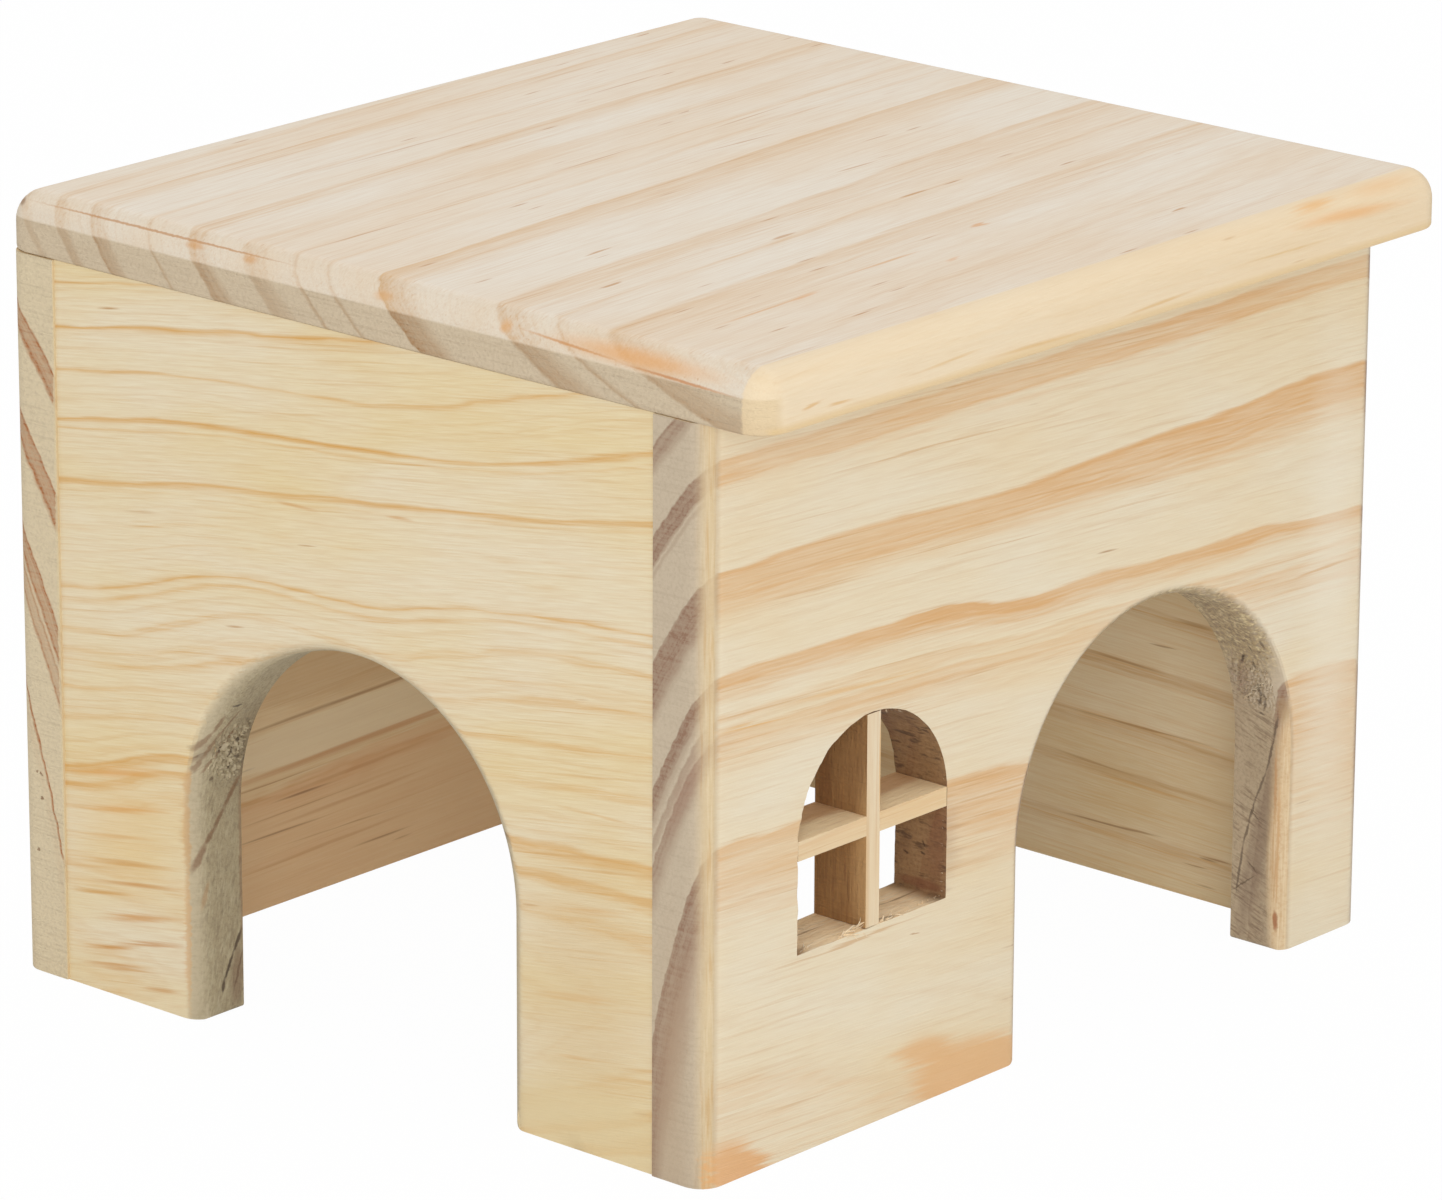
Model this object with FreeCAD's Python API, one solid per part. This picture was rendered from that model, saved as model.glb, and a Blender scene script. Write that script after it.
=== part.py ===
"""Wooden house for a hamster: five glued pine boards, a barred window and blind dowels.

Millimetres, +Z up. The front wall faces -Y and the house stands on z = 0, with the origin
in the middle under the roof. Every board is first built from the house's front left bottom
corner, with +X to the right and +Y to the back, and then shifted to the origin.
"""
import FreeCAD
import Part

import math
import os

# Boards
wall_thickness = 9.5
roof_thickness = 8.8
corner_round = 3.5              # outer upright edges of the front and back walls
side_setback = 0.4              # the side walls stay this far inside the ends of the other two

# Doorways: one in the front wall and one in the left side wall, cut to the same outline
doorway_width = 61.0
doorway_leg_height = 31.5       # straight part below the half circle
lintel_height = 47.5            # wood between the crown of a doorway and the roof
doorway_foot_round = 2.5        # the corner where a doorway's side meets the ground
front_doorway_round = 2.4       # outer edge, rounded over
side_doorway_round = 3.2

# Front wall, from left to right
window_margin = 19.3
window_width = 31.8
window_to_doorway = 16.9
right_pier_width = 19.5

# Window, from the ground up
window_sill_height = 29.4
window_jamb_height = 15.6       # straight part below the half circle

# Window bars, as deep as the wall and glued end to end into the opening
bar_width = 2.9
level_bar_drop = 0.5            # from the spring line down to the middle of the level bar

# Left side wall, from front to back
side_front_leg_width = 27.5
side_back_leg_width = 27.0

# Roof
roof_front_overhang = 10.3
roof_back_overhang = 0.5
roof_right_overhang = 1.5
roof_corner_round = 4.6         # in plan
roof_top_round = 4.5
roof_underside_round = 1.3

# Blind dowels
dowel_diameter = 5.0
dowel_length = 20.0
dowel_end_chamfer = 0.6
dowel_depth_in_face = 6.0       # how deep a dowel sits in the board that it enters through the face
dowel_to_board_end = 26.0       # from the ground or the roof to the middle of a wall joint's dowel
roof_dowel_to_corner = 30.0     # from a corner of the house to the middle of a roof dowel
glue_film = 0.1                 # around a dowel
glue_pocket = 0.5               # past each end of a dowel

# Derived sizes of the house
doorway_radius = doorway_width / 2
window_radius = window_width / 2
wall_height = doorway_leg_height + doorway_radius + lintel_height
house_width = window_margin + window_width + window_to_doorway + doorway_width + right_pier_width
side_wall_length = side_front_leg_width + doorway_width + side_back_leg_width
house_depth = side_wall_length + 2 * wall_thickness
roof_width = house_width + roof_right_overhang
roof_depth = roof_front_overhang + house_depth + roof_back_overhang

# Derived places
front_doorway_middle = house_width - right_pier_width - doorway_radius
side_doorway_middle = wall_thickness + side_front_leg_width + doorway_radius
window_middle = window_margin + window_radius
window_spring_height = window_sill_height + window_jamb_height
window_crown_height = window_spring_height + window_radius
back_wall_front = house_depth - wall_thickness
right_wall_middle = house_width - side_setback - (wall_thickness - side_setback) / 2
left_wall_middle = side_setback + (wall_thickness - side_setback) / 2
origin_shift = FreeCAD.Vector(-roof_width / 2, roof_front_overhang - roof_depth / 2, 0)

TOLERANCE = 1e-4
ARC_HALFWAY = 1 - math.sqrt(0.5)    # how far in a quarter circle's middle lies from the corner, per radius
UP = FreeCAD.Vector(0, 0, 1)
BACK = FreeCAD.Vector(0, 1, 0)
RIGHT = FreeCAD.Vector(1, 0, 0)


def block(x_from, x_to, y_from, y_to, z_from, z_to):
    """A box between two corners."""
    corner = FreeCAD.Vector(x_from, y_from, z_from)
    return Part.makeBox(x_to - x_from, y_to - y_from, z_to - z_from, corner)


def round_edges(shape, radius, chosen):
    """Round the edges for which chosen(edge) is true."""
    edges = [edge for edge in shape.Edges if chosen(edge)]
    return shape.makeFillet(radius, edges)


def all_at(edge, axis, value):
    """True where every corner of an edge has this value along one axis (0, 1 or 2)."""
    return all(abs(vertex.Point[axis] - value) < TOLERANCE for vertex in edge.Vertexes)


def arch_cutter(middle, width, base, spring, along, depth):
    """A solid with straight sides from base to spring and a half circle above.

    It is centred on middle along X and goes depth along Y for along = BACK, or it is centred
    on middle along Y and goes depth along X for along = RIGHT.
    """
    across = RIGHT if along == BACK else BACK
    radius = width / 2
    foot_a = across * (middle - radius) + UP * base
    foot_b = across * (middle + radius) + UP * base
    spring_a = across * (middle - radius) + UP * spring
    spring_b = across * (middle + radius) + UP * spring
    crown = across * middle + UP * (spring + radius)
    outline = Part.Wire([
        Part.makeLine(foot_a, spring_a),
        Part.Arc(spring_a, crown, spring_b).toShape(),
        Part.makeLine(spring_b, foot_b),
        Part.makeLine(foot_b, foot_a),
    ])
    return Part.Face(outline).extrude(along * depth)


def foot_cutter(edge, side, along, depth):
    """What rounds the corner where a doorway's side, at this edge, meets the ground.

    side is -1 at the wood before the doorway and 1 at the wood after it.
    """
    across = RIGHT if along == BACK else BACK
    radius = doorway_foot_round
    halfway = radius * ARC_HALFWAY
    corner = across * edge
    start = across * (edge + side * radius)
    middle = across * (edge + side * halfway) + UP * halfway
    finish = across * edge + UP * radius
    outline = Part.Wire([
        Part.makeLine(corner, start),
        Part.Arc(start, middle, finish).toShape(),
        Part.makeLine(finish, corner),
    ])
    return Part.Face(outline).extrude(along * depth)


def cut_doorway(wall, middle, along, outer_face, round_over):
    """Cut a doorway through a wall, round its outer edge over and round its two feet."""
    axis = 1 if along == BACK else 0
    across = 1 - axis
    opening = arch_cutter(middle, doorway_width, 0, doorway_leg_height, along, wall_thickness)
    wall = wall.cut(opening)

    def is_outline(edge):
        near = all(abs(vertex.Point[across] - middle) < doorway_radius + TOLERANCE
                   for vertex in edge.Vertexes)
        return all_at(edge, axis, outer_face) and near and not all_at(edge, 2, wall_height)

    wall = round_edges(wall, round_over, is_outline)
    for side in (-1, 1):
        wall = wall.cut(foot_cutter(middle + side * doorway_radius, side, along, wall_thickness))
    return wall


def window_opening():
    """What is cut out of the front wall for the window."""
    return arch_cutter(
        window_middle, window_width, window_sill_height, window_spring_height, BACK, wall_thickness)


def cylinder_at(radius, start, direction, length):
    """A cylinder from a point along a direction."""
    return Part.makeCylinder(radius, length, start, direction)


def dowel(joint, direction):
    """One dowel with chamfered ends: joint is where it crosses from a face into an end."""
    start = joint - direction * dowel_depth_in_face
    pin = cylinder_at(dowel_diameter / 2, start, direction, dowel_length)
    return pin.makeChamfer(dowel_end_chamfer, [edge for edge in pin.Edges if edge.isClosed()])


def dowel_hole(joint, direction):
    """The blind holes for one dowel, with room for glue around it and past its ends."""
    start = joint - direction * (dowel_depth_in_face + glue_pocket)
    return cylinder_at(dowel_diameter / 2 + glue_film, start, direction, dowel_length + 2 * glue_pocket)


def dowel_places():
    """Each joint's dowels by node name: the points where they cross, and their direction."""
    levels = [dowel_to_board_end, wall_height - dowel_to_board_end]
    joints = {}
    for end, joint_y, direction in (("front", wall_thickness, BACK), ("back", back_wall_front, -BACK)):
        for side, middle in (("left", left_wall_middle), ("right", right_wall_middle)):
            points = [FreeCAD.Vector(middle, joint_y, level) for level in levels]
            joints[end + "_" + side + "_dowels"] = (points, direction)
    roof_points = []
    for middle_y in (wall_thickness / 2, house_depth - wall_thickness / 2):
        for middle_x in (roof_dowel_to_corner, house_width - roof_dowel_to_corner):
            roof_points.append(FreeCAD.Vector(middle_x, middle_y, wall_height))
    joints["roof_dowels"] = (roof_points, -UP)
    return joints


def drill(board, places):
    """Cut from a board the part of every dowel hole that lies in it."""
    for points, direction in places.values():
        for point in points:
            board = board.cut(dowel_hole(point, direction))
    return board


def front_wall():
    """Full width, with the window and the front doorway."""
    wall = block(0, house_width, 0, wall_thickness, 0, wall_height)
    wall = cut_doorway(wall, front_doorway_middle, BACK, 0, front_doorway_round)
    wall = wall.cut(window_opening())
    return round_edges(wall, corner_round, lambda edge: is_outer_upright(edge, 0))


def is_upright(edge):
    """True for a straight edge along Z."""
    ends = [vertex.Point for vertex in edge.Vertexes]
    return abs(ends[0].x - ends[-1].x) < TOLERANCE and abs(ends[0].y - ends[-1].y) < TOLERANCE


def is_outer_upright(edge, outer_face):
    """True for the two upright edges at the ends of a front or back wall's outer face."""
    at_end = all_at(edge, 0, 0) or all_at(edge, 0, house_width)
    return at_end and all_at(edge, 1, outer_face)


def back_wall():
    """Full width and plain."""
    wall = block(0, house_width, back_wall_front, house_depth, 0, wall_height)
    return round_edges(wall, corner_round, lambda edge: is_outer_upright(edge, house_depth))


def left_side_wall():
    """Between the front and back walls, with the side doorway."""
    wall = block(side_setback, wall_thickness, wall_thickness, back_wall_front, 0, wall_height)
    return cut_doorway(wall, side_doorway_middle, RIGHT, side_setback, side_doorway_round)


def right_side_wall():
    """Between the front and back walls, plain."""
    return block(
        house_width - wall_thickness, house_width - side_setback,
        wall_thickness, back_wall_front, 0, wall_height)


def roof_board():
    """Rounded at its four corners in plan, then along its upper and its lower edge."""
    top = wall_height + roof_thickness
    front = -roof_front_overhang
    board = block(0, roof_width, front, front + roof_depth, wall_height, top)
    board = round_edges(board, roof_corner_round, is_upright)
    board = round_edges(board, roof_top_round, lambda edge: all_at(edge, 2, top))
    return round_edges(board, roof_underside_round, lambda edge: all_at(edge, 2, wall_height))


def window_bars():
    """The two bars, with their ends cut to the window's outline.

    They are halved into each other: the upright one is whole at the front.
    """
    level_middle = window_spring_height - level_bar_drop
    upright = block(
        window_middle - bar_width / 2, window_middle + bar_width / 2, 0, wall_thickness,
        window_sill_height, window_crown_height).common(window_opening())
    level = block(
        window_margin, window_margin + window_width, 0, wall_thickness,
        level_middle - bar_width / 2, level_middle + bar_width / 2).common(window_opening())
    box = upright.common(level).BoundBox
    middle = wall_thickness / 2
    rear_half = block(box.XMin, box.XMax, middle, wall_thickness, box.ZMin, box.ZMax)
    front_half = block(box.XMin, box.XMax, 0, middle, box.ZMin, box.ZMax)
    return upright.cut(rear_half), level.cut(front_half)


def save(name, shape):
    """Shift a piece to the origin and write it as its own node."""
    placed = shape.copy()
    placed.translate(origin_shift)
    placed.exportStep("parts/" + name + ".step")


def main():
    os.makedirs("parts", exist_ok=True)
    places = dowel_places()
    boards = {
        "roof_board": roof_board(),
        "front_wall": front_wall(),
        "back_wall": back_wall(),
        "left_side_wall": left_side_wall(),
        "right_side_wall": right_side_wall(),
    }
    for name, board in boards.items():
        save(name, drill(board, places))
    upright, level = window_bars()
    save("upright_window_bar", upright)
    save("level_window_bar", level)
    for name, (points, direction) in places.items():
        save(name, Part.makeCompound([dowel(point, direction) for point in points]))


main()
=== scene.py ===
"""Looks of the pine hamster house: five boards, two window bars, torn fibres and studio light.

Pieces are modelled in millimetres from the house's front left bottom corner, with +X to the
right, +Y to the back and +Z up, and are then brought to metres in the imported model's frame.
"""

import math
import random

import bmesh
import bpy
from mathutils import Euler, Matrix, Vector


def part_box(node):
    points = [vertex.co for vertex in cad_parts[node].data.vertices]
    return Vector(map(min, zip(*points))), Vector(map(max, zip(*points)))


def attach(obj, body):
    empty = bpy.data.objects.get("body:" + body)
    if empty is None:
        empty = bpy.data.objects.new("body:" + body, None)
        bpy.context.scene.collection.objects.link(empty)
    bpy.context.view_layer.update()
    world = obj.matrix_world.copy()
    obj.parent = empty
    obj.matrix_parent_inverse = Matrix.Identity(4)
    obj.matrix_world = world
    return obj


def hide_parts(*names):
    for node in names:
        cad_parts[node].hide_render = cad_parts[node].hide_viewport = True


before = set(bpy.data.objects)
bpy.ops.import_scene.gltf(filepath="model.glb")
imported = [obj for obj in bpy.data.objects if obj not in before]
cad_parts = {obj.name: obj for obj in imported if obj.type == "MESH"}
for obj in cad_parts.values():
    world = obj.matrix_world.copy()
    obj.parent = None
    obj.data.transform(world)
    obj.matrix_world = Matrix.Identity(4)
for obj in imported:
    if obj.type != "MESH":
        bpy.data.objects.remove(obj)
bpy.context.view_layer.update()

MM = 0.001
HOUSE_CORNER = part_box("front_wall")[0]
CLOSE = 1e-3                            # two places closer than this are the same

# Sizes of the house in millimetres
wall_thickness = 9.5
roof_thickness = 8.8
wall_height = 109.5
house_width = 148.5
house_depth = 134.5
side_setback = 0.4
corner_round = 3.5
doorway_width = 61.0
doorway_leg_height = 31.5
doorway_foot_round = 2.5
doorway_square_foot_round = 0.6
front_doorway_middle = 98.5
front_doorway_round = 2.4
side_doorway_middle = 67.5
side_doorway_round = 3.2
window_middle = 35.2
window_width = 31.8
window_sill_height = 29.4
window_spring_height = 45.0
bar_width = 2.9
level_bar_middle = 44.5
roof_width = 150.0
roof_front_overhang = 10.3
roof_depth = 145.3
roof_corner_round = 4.6
roof_top_round = 4.5
roof_underside_round = 0.6

# Broken arrises, gaps at the ends of the window bars, and torn patches: where, how far they
# reach, and how far round them the faces are divided
arris_width = 0.18
back_arris_width = 0.22
bar_arris_width = 0.08
bar_gap = 0.04
bar_crown_gap = 0.1
notch_width = 4.0
torn_front_middle = (128.5, 4.9, 42.5)
torn_front_reach = 6.8
torn_front_refined = 9
torn_side_middle = (27.3, 7.0, 41)
torn_side_reach = 7
torn_side_refined = 8

# Blind dowel holes
dowel_to_board_end = 26.0
roof_dowel_to_corner = 30.0
hole_radius = 2.6
hole_length = 21.0
hole_depth_in_face = 6.5

back_wall_front = house_depth - wall_thickness
roof_front = -roof_front_overhang
right_wall_inside = house_width - wall_thickness
front_doorway_right = front_doorway_middle + doorway_width / 2
roof_top = wall_height + roof_thickness
window_crown_height = window_spring_height + window_width / 2


# ---------------------------------------------------------------- woodworking

def pick(piece):
    """Make one piece the only one that the next tool works on."""
    bpy.ops.object.select_all(action="DESELECT")
    piece.select_set(True)
    bpy.context.view_layer.objects.active = piece


def keep_place(piece):
    """Write a piece's place, turn and size into its mesh."""
    pick(piece)
    bpy.ops.object.transform_apply(location=True, rotation=True, scale=True)


def name_piece(piece, name):
    """Name a piece and its mesh."""
    piece.name = name
    piece.data.name = name


def blank(name, x_from, x_to, y_from, y_to, z_from, z_to):
    """A sawn blank between two corners, the start of a board or bar."""
    bpy.ops.object.select_all(action="DESELECT")
    bpy.ops.mesh.primitive_cube_add(
        size=1, location=((x_from + x_to) / 2, (y_from + y_to) / 2, (z_from + z_to) / 2))
    piece = bpy.context.object
    piece.scale = (x_to - x_from, y_to - y_from, z_to - z_from)
    name_piece(piece, name)
    keep_place(piece)
    return piece


def rod(name, radius, steps, length, middle, turn):
    """A round cutter or pin."""
    bpy.ops.object.select_all(action="DESELECT")
    bpy.ops.mesh.primitive_cylinder_add(
        vertices=steps, radius=radius, depth=length, location=middle, rotation=turn)
    piece = bpy.context.object
    name_piece(piece, name)
    keep_place(piece)
    return piece


ACROSS_WALL = (math.pi / 2, 0, 0)
UNTURNED = (0, 0, 0)
SHARP_ANGLE = math.radians(40)          # an edge is sanded where its faces turn by more
SMOOTH_ANGLE = math.radians(35)         # and is shaded smoothly where they turn by less


def edit(piece):
    """Open a piece's mesh with nothing selected."""
    pick(piece)
    bpy.ops.object.mode_set(mode="EDIT")
    bpy.ops.mesh.select_mode(type="VERT")
    bpy.ops.mesh.select_all(action="DESELECT")


def put_down():
    """Close the mesh that is open."""
    bpy.ops.object.mode_set(mode="OBJECT")


def finish_modifier(piece, modifier):
    """Make a modifier's result part of the mesh."""
    pick(piece)
    bpy.ops.object.modifier_apply(modifier=modifier.name)


def cut(piece, cutter):
    """Take a cutter's shape out of a piece and throw the cutter away."""
    saw = piece.modifiers.new("saw", "BOOLEAN")
    saw.operation = "DIFFERENCE"
    saw.solver = "EXACT"
    saw.object = cutter
    finish_modifier(piece, saw)
    bpy.data.objects.remove(cutter)


def round_edges(piece, radius, steps, chosen):
    """Round over the edges for which chosen(one end, other end) is true."""
    edit(piece)
    bpy.ops.mesh.select_mode(type="EDGE")
    mesh = bmesh.from_edit_mesh(piece.data)
    for edge in mesh.edges:
        edge.select_set(chosen(edge.verts[0].co, edge.verts[1].co))
    bmesh.update_edit_mesh(piece.data)
    bpy.ops.mesh.bevel(
        offset=radius, segments=steps, profile=0.5, affect="EDGES", clamp_overlap=False)
    put_down()


def soften_arrises(piece, width):
    """Break all sharp edges slightly, as sandpaper does."""
    sander = piece.modifiers.new("sander", "BEVEL")
    sander.width = width
    sander.segments = 2
    sander.limit_method = "ANGLE"
    sander.angle_limit = SHARP_ANGLE
    sander.use_clamp_overlap = True
    finish_modifier(piece, sander)


def add_lines(piece, axis, start, stop, step):
    """Cut evenly spaced lines round a piece, so that its faces can be roughened."""
    edit(piece)
    normal = [0, 0, 0]
    normal[axis] = 1
    count = int((stop - start) / step)
    for number in range(count + 1):
        place = [0, 0, 0]
        place[axis] = start + number * step
        bpy.ops.mesh.select_all(action="SELECT")
        bpy.ops.mesh.bisect(plane_co=place, plane_no=normal)
    put_down()


def roughen(piece, label, grain_size, height, weight):
    """Raise and lower the faces where weight(place, normal) is above 0."""
    group = piece.vertex_groups.new(name=label)
    for vertex in piece.data.vertices:
        amount = weight(vertex.co, vertex.normal)
        if amount > 0:
            group.add([vertex.index], amount, "REPLACE")
    pattern = bpy.data.textures.new(label, "CLOUDS")
    pattern.noise_scale = grain_size
    pattern.noise_depth = 2
    rasp = piece.modifiers.new(label, "DISPLACE")
    rasp.texture = pattern
    rasp.texture_coords = "LOCAL"
    rasp.strength = height
    rasp.mid_level = 0.5
    rasp.vertex_group = label
    finish_modifier(piece, rasp)
    piece.vertex_groups.remove(piece.vertex_groups[label])


# ---------------------------------------------------------------- shapes

X, Y, Z = range(3)
ARC_STEPS = 180
HOLE_STEPS = 24
FOOT_STEPS = 32
FACING_DOWN = -0.9                      # a normal's Z on the flat base of a cutter
BROAD_EDGE_STEPS = 10
EDGE_STEPS = 8
NARROW_EDGE_STEPS = 4

# Where a weight for roughen holds, in millimetres
REVEAL_TOLERANCE = 0.05                 # how far a place may lie off an opening's outline
REVEAL_BACK_MARGIN = 0.4                # kept smooth before a board's inner face
REVEAL_GROUND_MARGIN = 1                # kept smooth above the ground
OUTLINE_STRIP = 0.3                     # half the width of the strip along an outline
REVEAL_FACING = 0.3                     # how squarely a reveal's rough places may face outwards
PATCH_RAMP = 1.6                        # how steeply a torn patch starts
PATCH_MARGINS = (0.3, 0.2)              # kept smooth before the outer and the inner face

# Torn fibres
FIBRE_SIDES = 5
FIBRE_TIP = 1 / 12                      # the tip's radius by the fibre's width
FIBRE_BENDS = (0.25, 0.5, 0.75)         # where along its length a fibre can bend
FIBRE_SPREAD = 0.6
FIBRE_LENGTHS = (0.5, 1.4)
FIBRE_WIDTHS = (0.6, 1.3)
FIBRE_CURLS = (-1.4, 1.4)

# Where the jigsaw tore fibres: from, to, where they point, how many, their length and width
FRONT_TORN_EDGES = (
    ((28.5, 0.5, 29.4), (33.4, 1.4, 29.4), (0.8, -0.4, 0.5), 20, 1.8, 0.4),
    ((36.8, 0.3, 29.4), (40.6, 0.6, 29.4), (0.8, -0.2, 0.5), 12, 1.3, 0.4),
    ((20.0, 0.5, 29.4), (22.5, 1.0, 29.4), (0.5, -0.1, 0.6), 5, 0.9, 0.3),
    ((41.0, 0.8, 29.4), (51.0, 1.2, 29.4), (0.9, 0.1, 0.2), 9, 0.8, 0.24),
    ((51.0, 0.6, 30.0), (51.0, 0.6, 50.0), (-0.9, 0.1, 0.5), 14, 0.4, 0.2),
    ((36.7, 0.8, 60.7), (42.0, 0.8, 59.4), (0.5, 0.1, -0.7), 6, 0.7, 0.24),
    ((127.2, 3.0, 42.0), (128.7, 7.5, 38.0), (-0.8, -0.4, 0.4), 24, 1.0, 0.36),
    ((126.0, 2.4, 46.5), (127.5, 5.5, 42.5), (-0.8, -0.3, 0.3), 16, 0.8, 0.3),
)


def arch_cutter(middle, width, base, spring, depth):
    """A cutter with straight sides from base to spring and a half circle above."""
    cutter = rod(
        "arch_cutter", width / 2, ARC_STEPS, 3 * depth, (middle, depth / 2, spring), ACROSS_WALL)
    edit(cutter)
    bpy.ops.mesh.select_all(action="SELECT")
    bpy.ops.mesh.bisect(
        plane_co=(0, 0, spring), plane_no=(0, 0, 1), use_fill=True, clear_inner=True)
    bpy.ops.mesh.select_mode(type="FACE")
    mesh = bmesh.from_edit_mesh(cutter.data)
    for face in mesh.faces:
        face.select_set(face.normal.z < FACING_DOWN)
    bmesh.update_edit_mesh(cutter.data)
    bpy.ops.mesh.extrude_region_move(TRANSFORM_OT_translate={"value": (0, 0, base - spring)})
    put_down()
    return cutter


def foot_cutter(edge, side, radius, depth):
    """What rounds the corner where a doorway's side, at this edge, meets the ground."""
    start = edge - side
    finish = edge + side * radius
    cutter = blank("foot_cutter", min(start, finish), max(start, finish), -depth, 2 * depth, -1, radius)
    cut(cutter, rod(
        "foot_shape", radius, FOOT_STEPS, 4 * depth, (finish, depth / 2, radius), ACROSS_WALL))
    return cutter


def is_at(value, *places):
    """True where every place lies at this value."""
    return all(abs(place - value) < CLOSE for place in places)


def cut_doorway(wall, middle, round_over, foot_rounds, depth):
    """Cut a doorway, round its outer edge over and round its two feet, each by its own radius."""
    base = -1
    cut(wall, arch_cutter(middle, doorway_width, base, doorway_leg_height, depth))
    radius = doorway_width / 2

    def is_outline(one, other):
        inside = max(abs(one.x - middle), abs(other.x - middle)) < radius + CLOSE
        return inside and is_at(0, one.y, other.y) and not is_at(0, one.z, other.z)

    round_edges(wall, round_over, EDGE_STEPS, is_outline)
    for side, foot_round in zip((-1, 1), foot_rounds):
        cut(wall, foot_cutter(middle + side * radius, side, foot_round, depth))


def reveal_weight(middle, width, spring, base, depth, margin):
    """A weight for roughen: 1 on an opening's reveal, and 0 near its arrises and the ground."""
    radius = width / 2

    def weight(place, normal):
        if place.z > spring:
            off = abs(math.hypot(place.x - middle, place.z - spring) - radius)
        else:
            off = min(abs(abs(place.x - middle) - radius), abs(place.z - base))
            if abs(place.x - middle) > radius + CLOSE:
                off = 1
        if off > REVEAL_TOLERANCE:
            return 0
        return max(0, min(1, place.y - margin, depth - REVEAL_BACK_MARGIN - place.y,
                          place.z - REVEAL_GROUND_MARGIN))

    return weight


def drill_corner(wall, left, front):
    """The two blind dowel holes of one corner, as far as they lie in this wall."""
    inset = (side_setback + wall_thickness) / 2
    x = inset if left else house_width - inset
    reach = hole_length / 2 - hole_depth_in_face
    y = wall_thickness + reach if front else back_wall_front - reach
    for height in (dowel_to_board_end, wall_height - dowel_to_board_end):
        cut(wall, rod("drill", hole_radius, HOLE_STEPS, hole_length, (x, y, height), ACROSS_WALL))


def drill_under_roof(board, y):
    """The two blind dowel holes between a wall's upper end and the roof."""
    middle = wall_height + hole_depth_in_face - hole_length / 2
    for x in (roof_dowel_to_corner, house_width - roof_dowel_to_corner):
        cut(board, rod("drill", hole_radius, HOLE_STEPS, hole_length, (x, y, middle), UNTURNED))


def refine(piece, chosen, cuts):
    """Divide the faces whose middles are chosen, so that they can be torn."""
    edit(piece)
    bpy.ops.mesh.select_mode(type="FACE")
    mesh = bmesh.from_edit_mesh(piece.data)
    for face in mesh.faces:
        face.select_set(chosen(face.calc_center_median()))
    bmesh.update_edit_mesh(piece.data)
    bpy.ops.mesh.subdivide(number_cuts=cuts)
    put_down()


def sliver(place, direction, length, width, curl):
    """One torn fibre: a thin tapering splinter, bent along its length."""
    bpy.ops.object.select_all(action="DESELECT")
    bpy.ops.mesh.primitive_cone_add(
        vertices=FIBRE_SIDES, radius1=width / 2, radius2=width * FIBRE_TIP, depth=length,
        location=(0, 0, length / 2))
    piece = bpy.context.object
    keep_place(piece)
    for share in FIBRE_BENDS:
        edit(piece)
        bpy.ops.mesh.select_all(action="SELECT")
        bpy.ops.mesh.bisect(plane_co=(0, 0, share * length), plane_no=(0, 0, 1))
        put_down()
    curling = piece.modifiers.new("curling", "SIMPLE_DEFORM")
    curling.deform_method = "BEND"
    curling.deform_axis = "X"
    curling.angle = curl
    finish_modifier(piece, curling)
    piece.rotation_euler = direction.to_track_quat("Z", "Y").to_euler()
    piece.location = place
    keep_place(piece)
    return piece


def tear(wall, edges, seed):
    """Leave torn fibres along edges of a wall: (from, to, pointing, how many, length, width)."""
    chance = random.Random(seed)
    fibres = []
    for start, end, pointing, count, length, width in edges:
        for number in range(count):
            place = Vector(start).lerp(Vector(end), (number + chance.random()) / count)
            spread = Vector((chance.uniform(-1, 1), chance.uniform(-1, 1), chance.uniform(-1, 1)))
            direction = Vector(pointing).normalized() + FIBRE_SPREAD * spread
            fibres.append(sliver(
                place, direction, length * chance.uniform(*FIBRE_LENGTHS),
                width * chance.uniform(*FIBRE_WIDTHS), chance.uniform(*FIBRE_CURLS)))
    pick(wall)
    for fibre in fibres:
        fibre.select_set(True)
    bpy.ops.object.join()


def patch_weight(middle, reach, depth):
    """A weight for roughen: 1 in the middle of a torn patch on a reveal, 0 past its reach."""
    before, behind = PATCH_MARGINS

    def weight(place, normal):
        if abs(normal.y) > REVEAL_FACING:
            return 0
        off = (place - Vector(middle)).length / reach
        return max(0, min(
            1, PATCH_RAMP * (1 - off), 2 * (place.y - before), 2 * (depth - behind - place.y)))

    return weight


def outline_weight(middle, width, spring, base):
    """A weight for roughen: 1 on a narrow strip on both sides of an opening's outline."""
    radius = width / 2

    def weight(place, normal):
        if place.z > spring:
            off = abs(math.hypot(place.x - middle, place.z - spring) - radius)
        else:
            off = abs(max(abs(place.x - middle) - radius, base - place.z))
        return 1 if off < OUTLINE_STRIP else 0

    return weight


def divide(wall, length, depth):
    """Cut lines across a board with openings, so that their edges can be roughened."""
    # axis, first line, last line, step
    for lines in (
            (Y, 1.2, depth - 0.8, 0.9),
            (Z, 3.0, 62.0, 1.0),
            (X, 4.0, length - 4, 2.5)):
        add_lines(wall, *lines)


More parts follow.
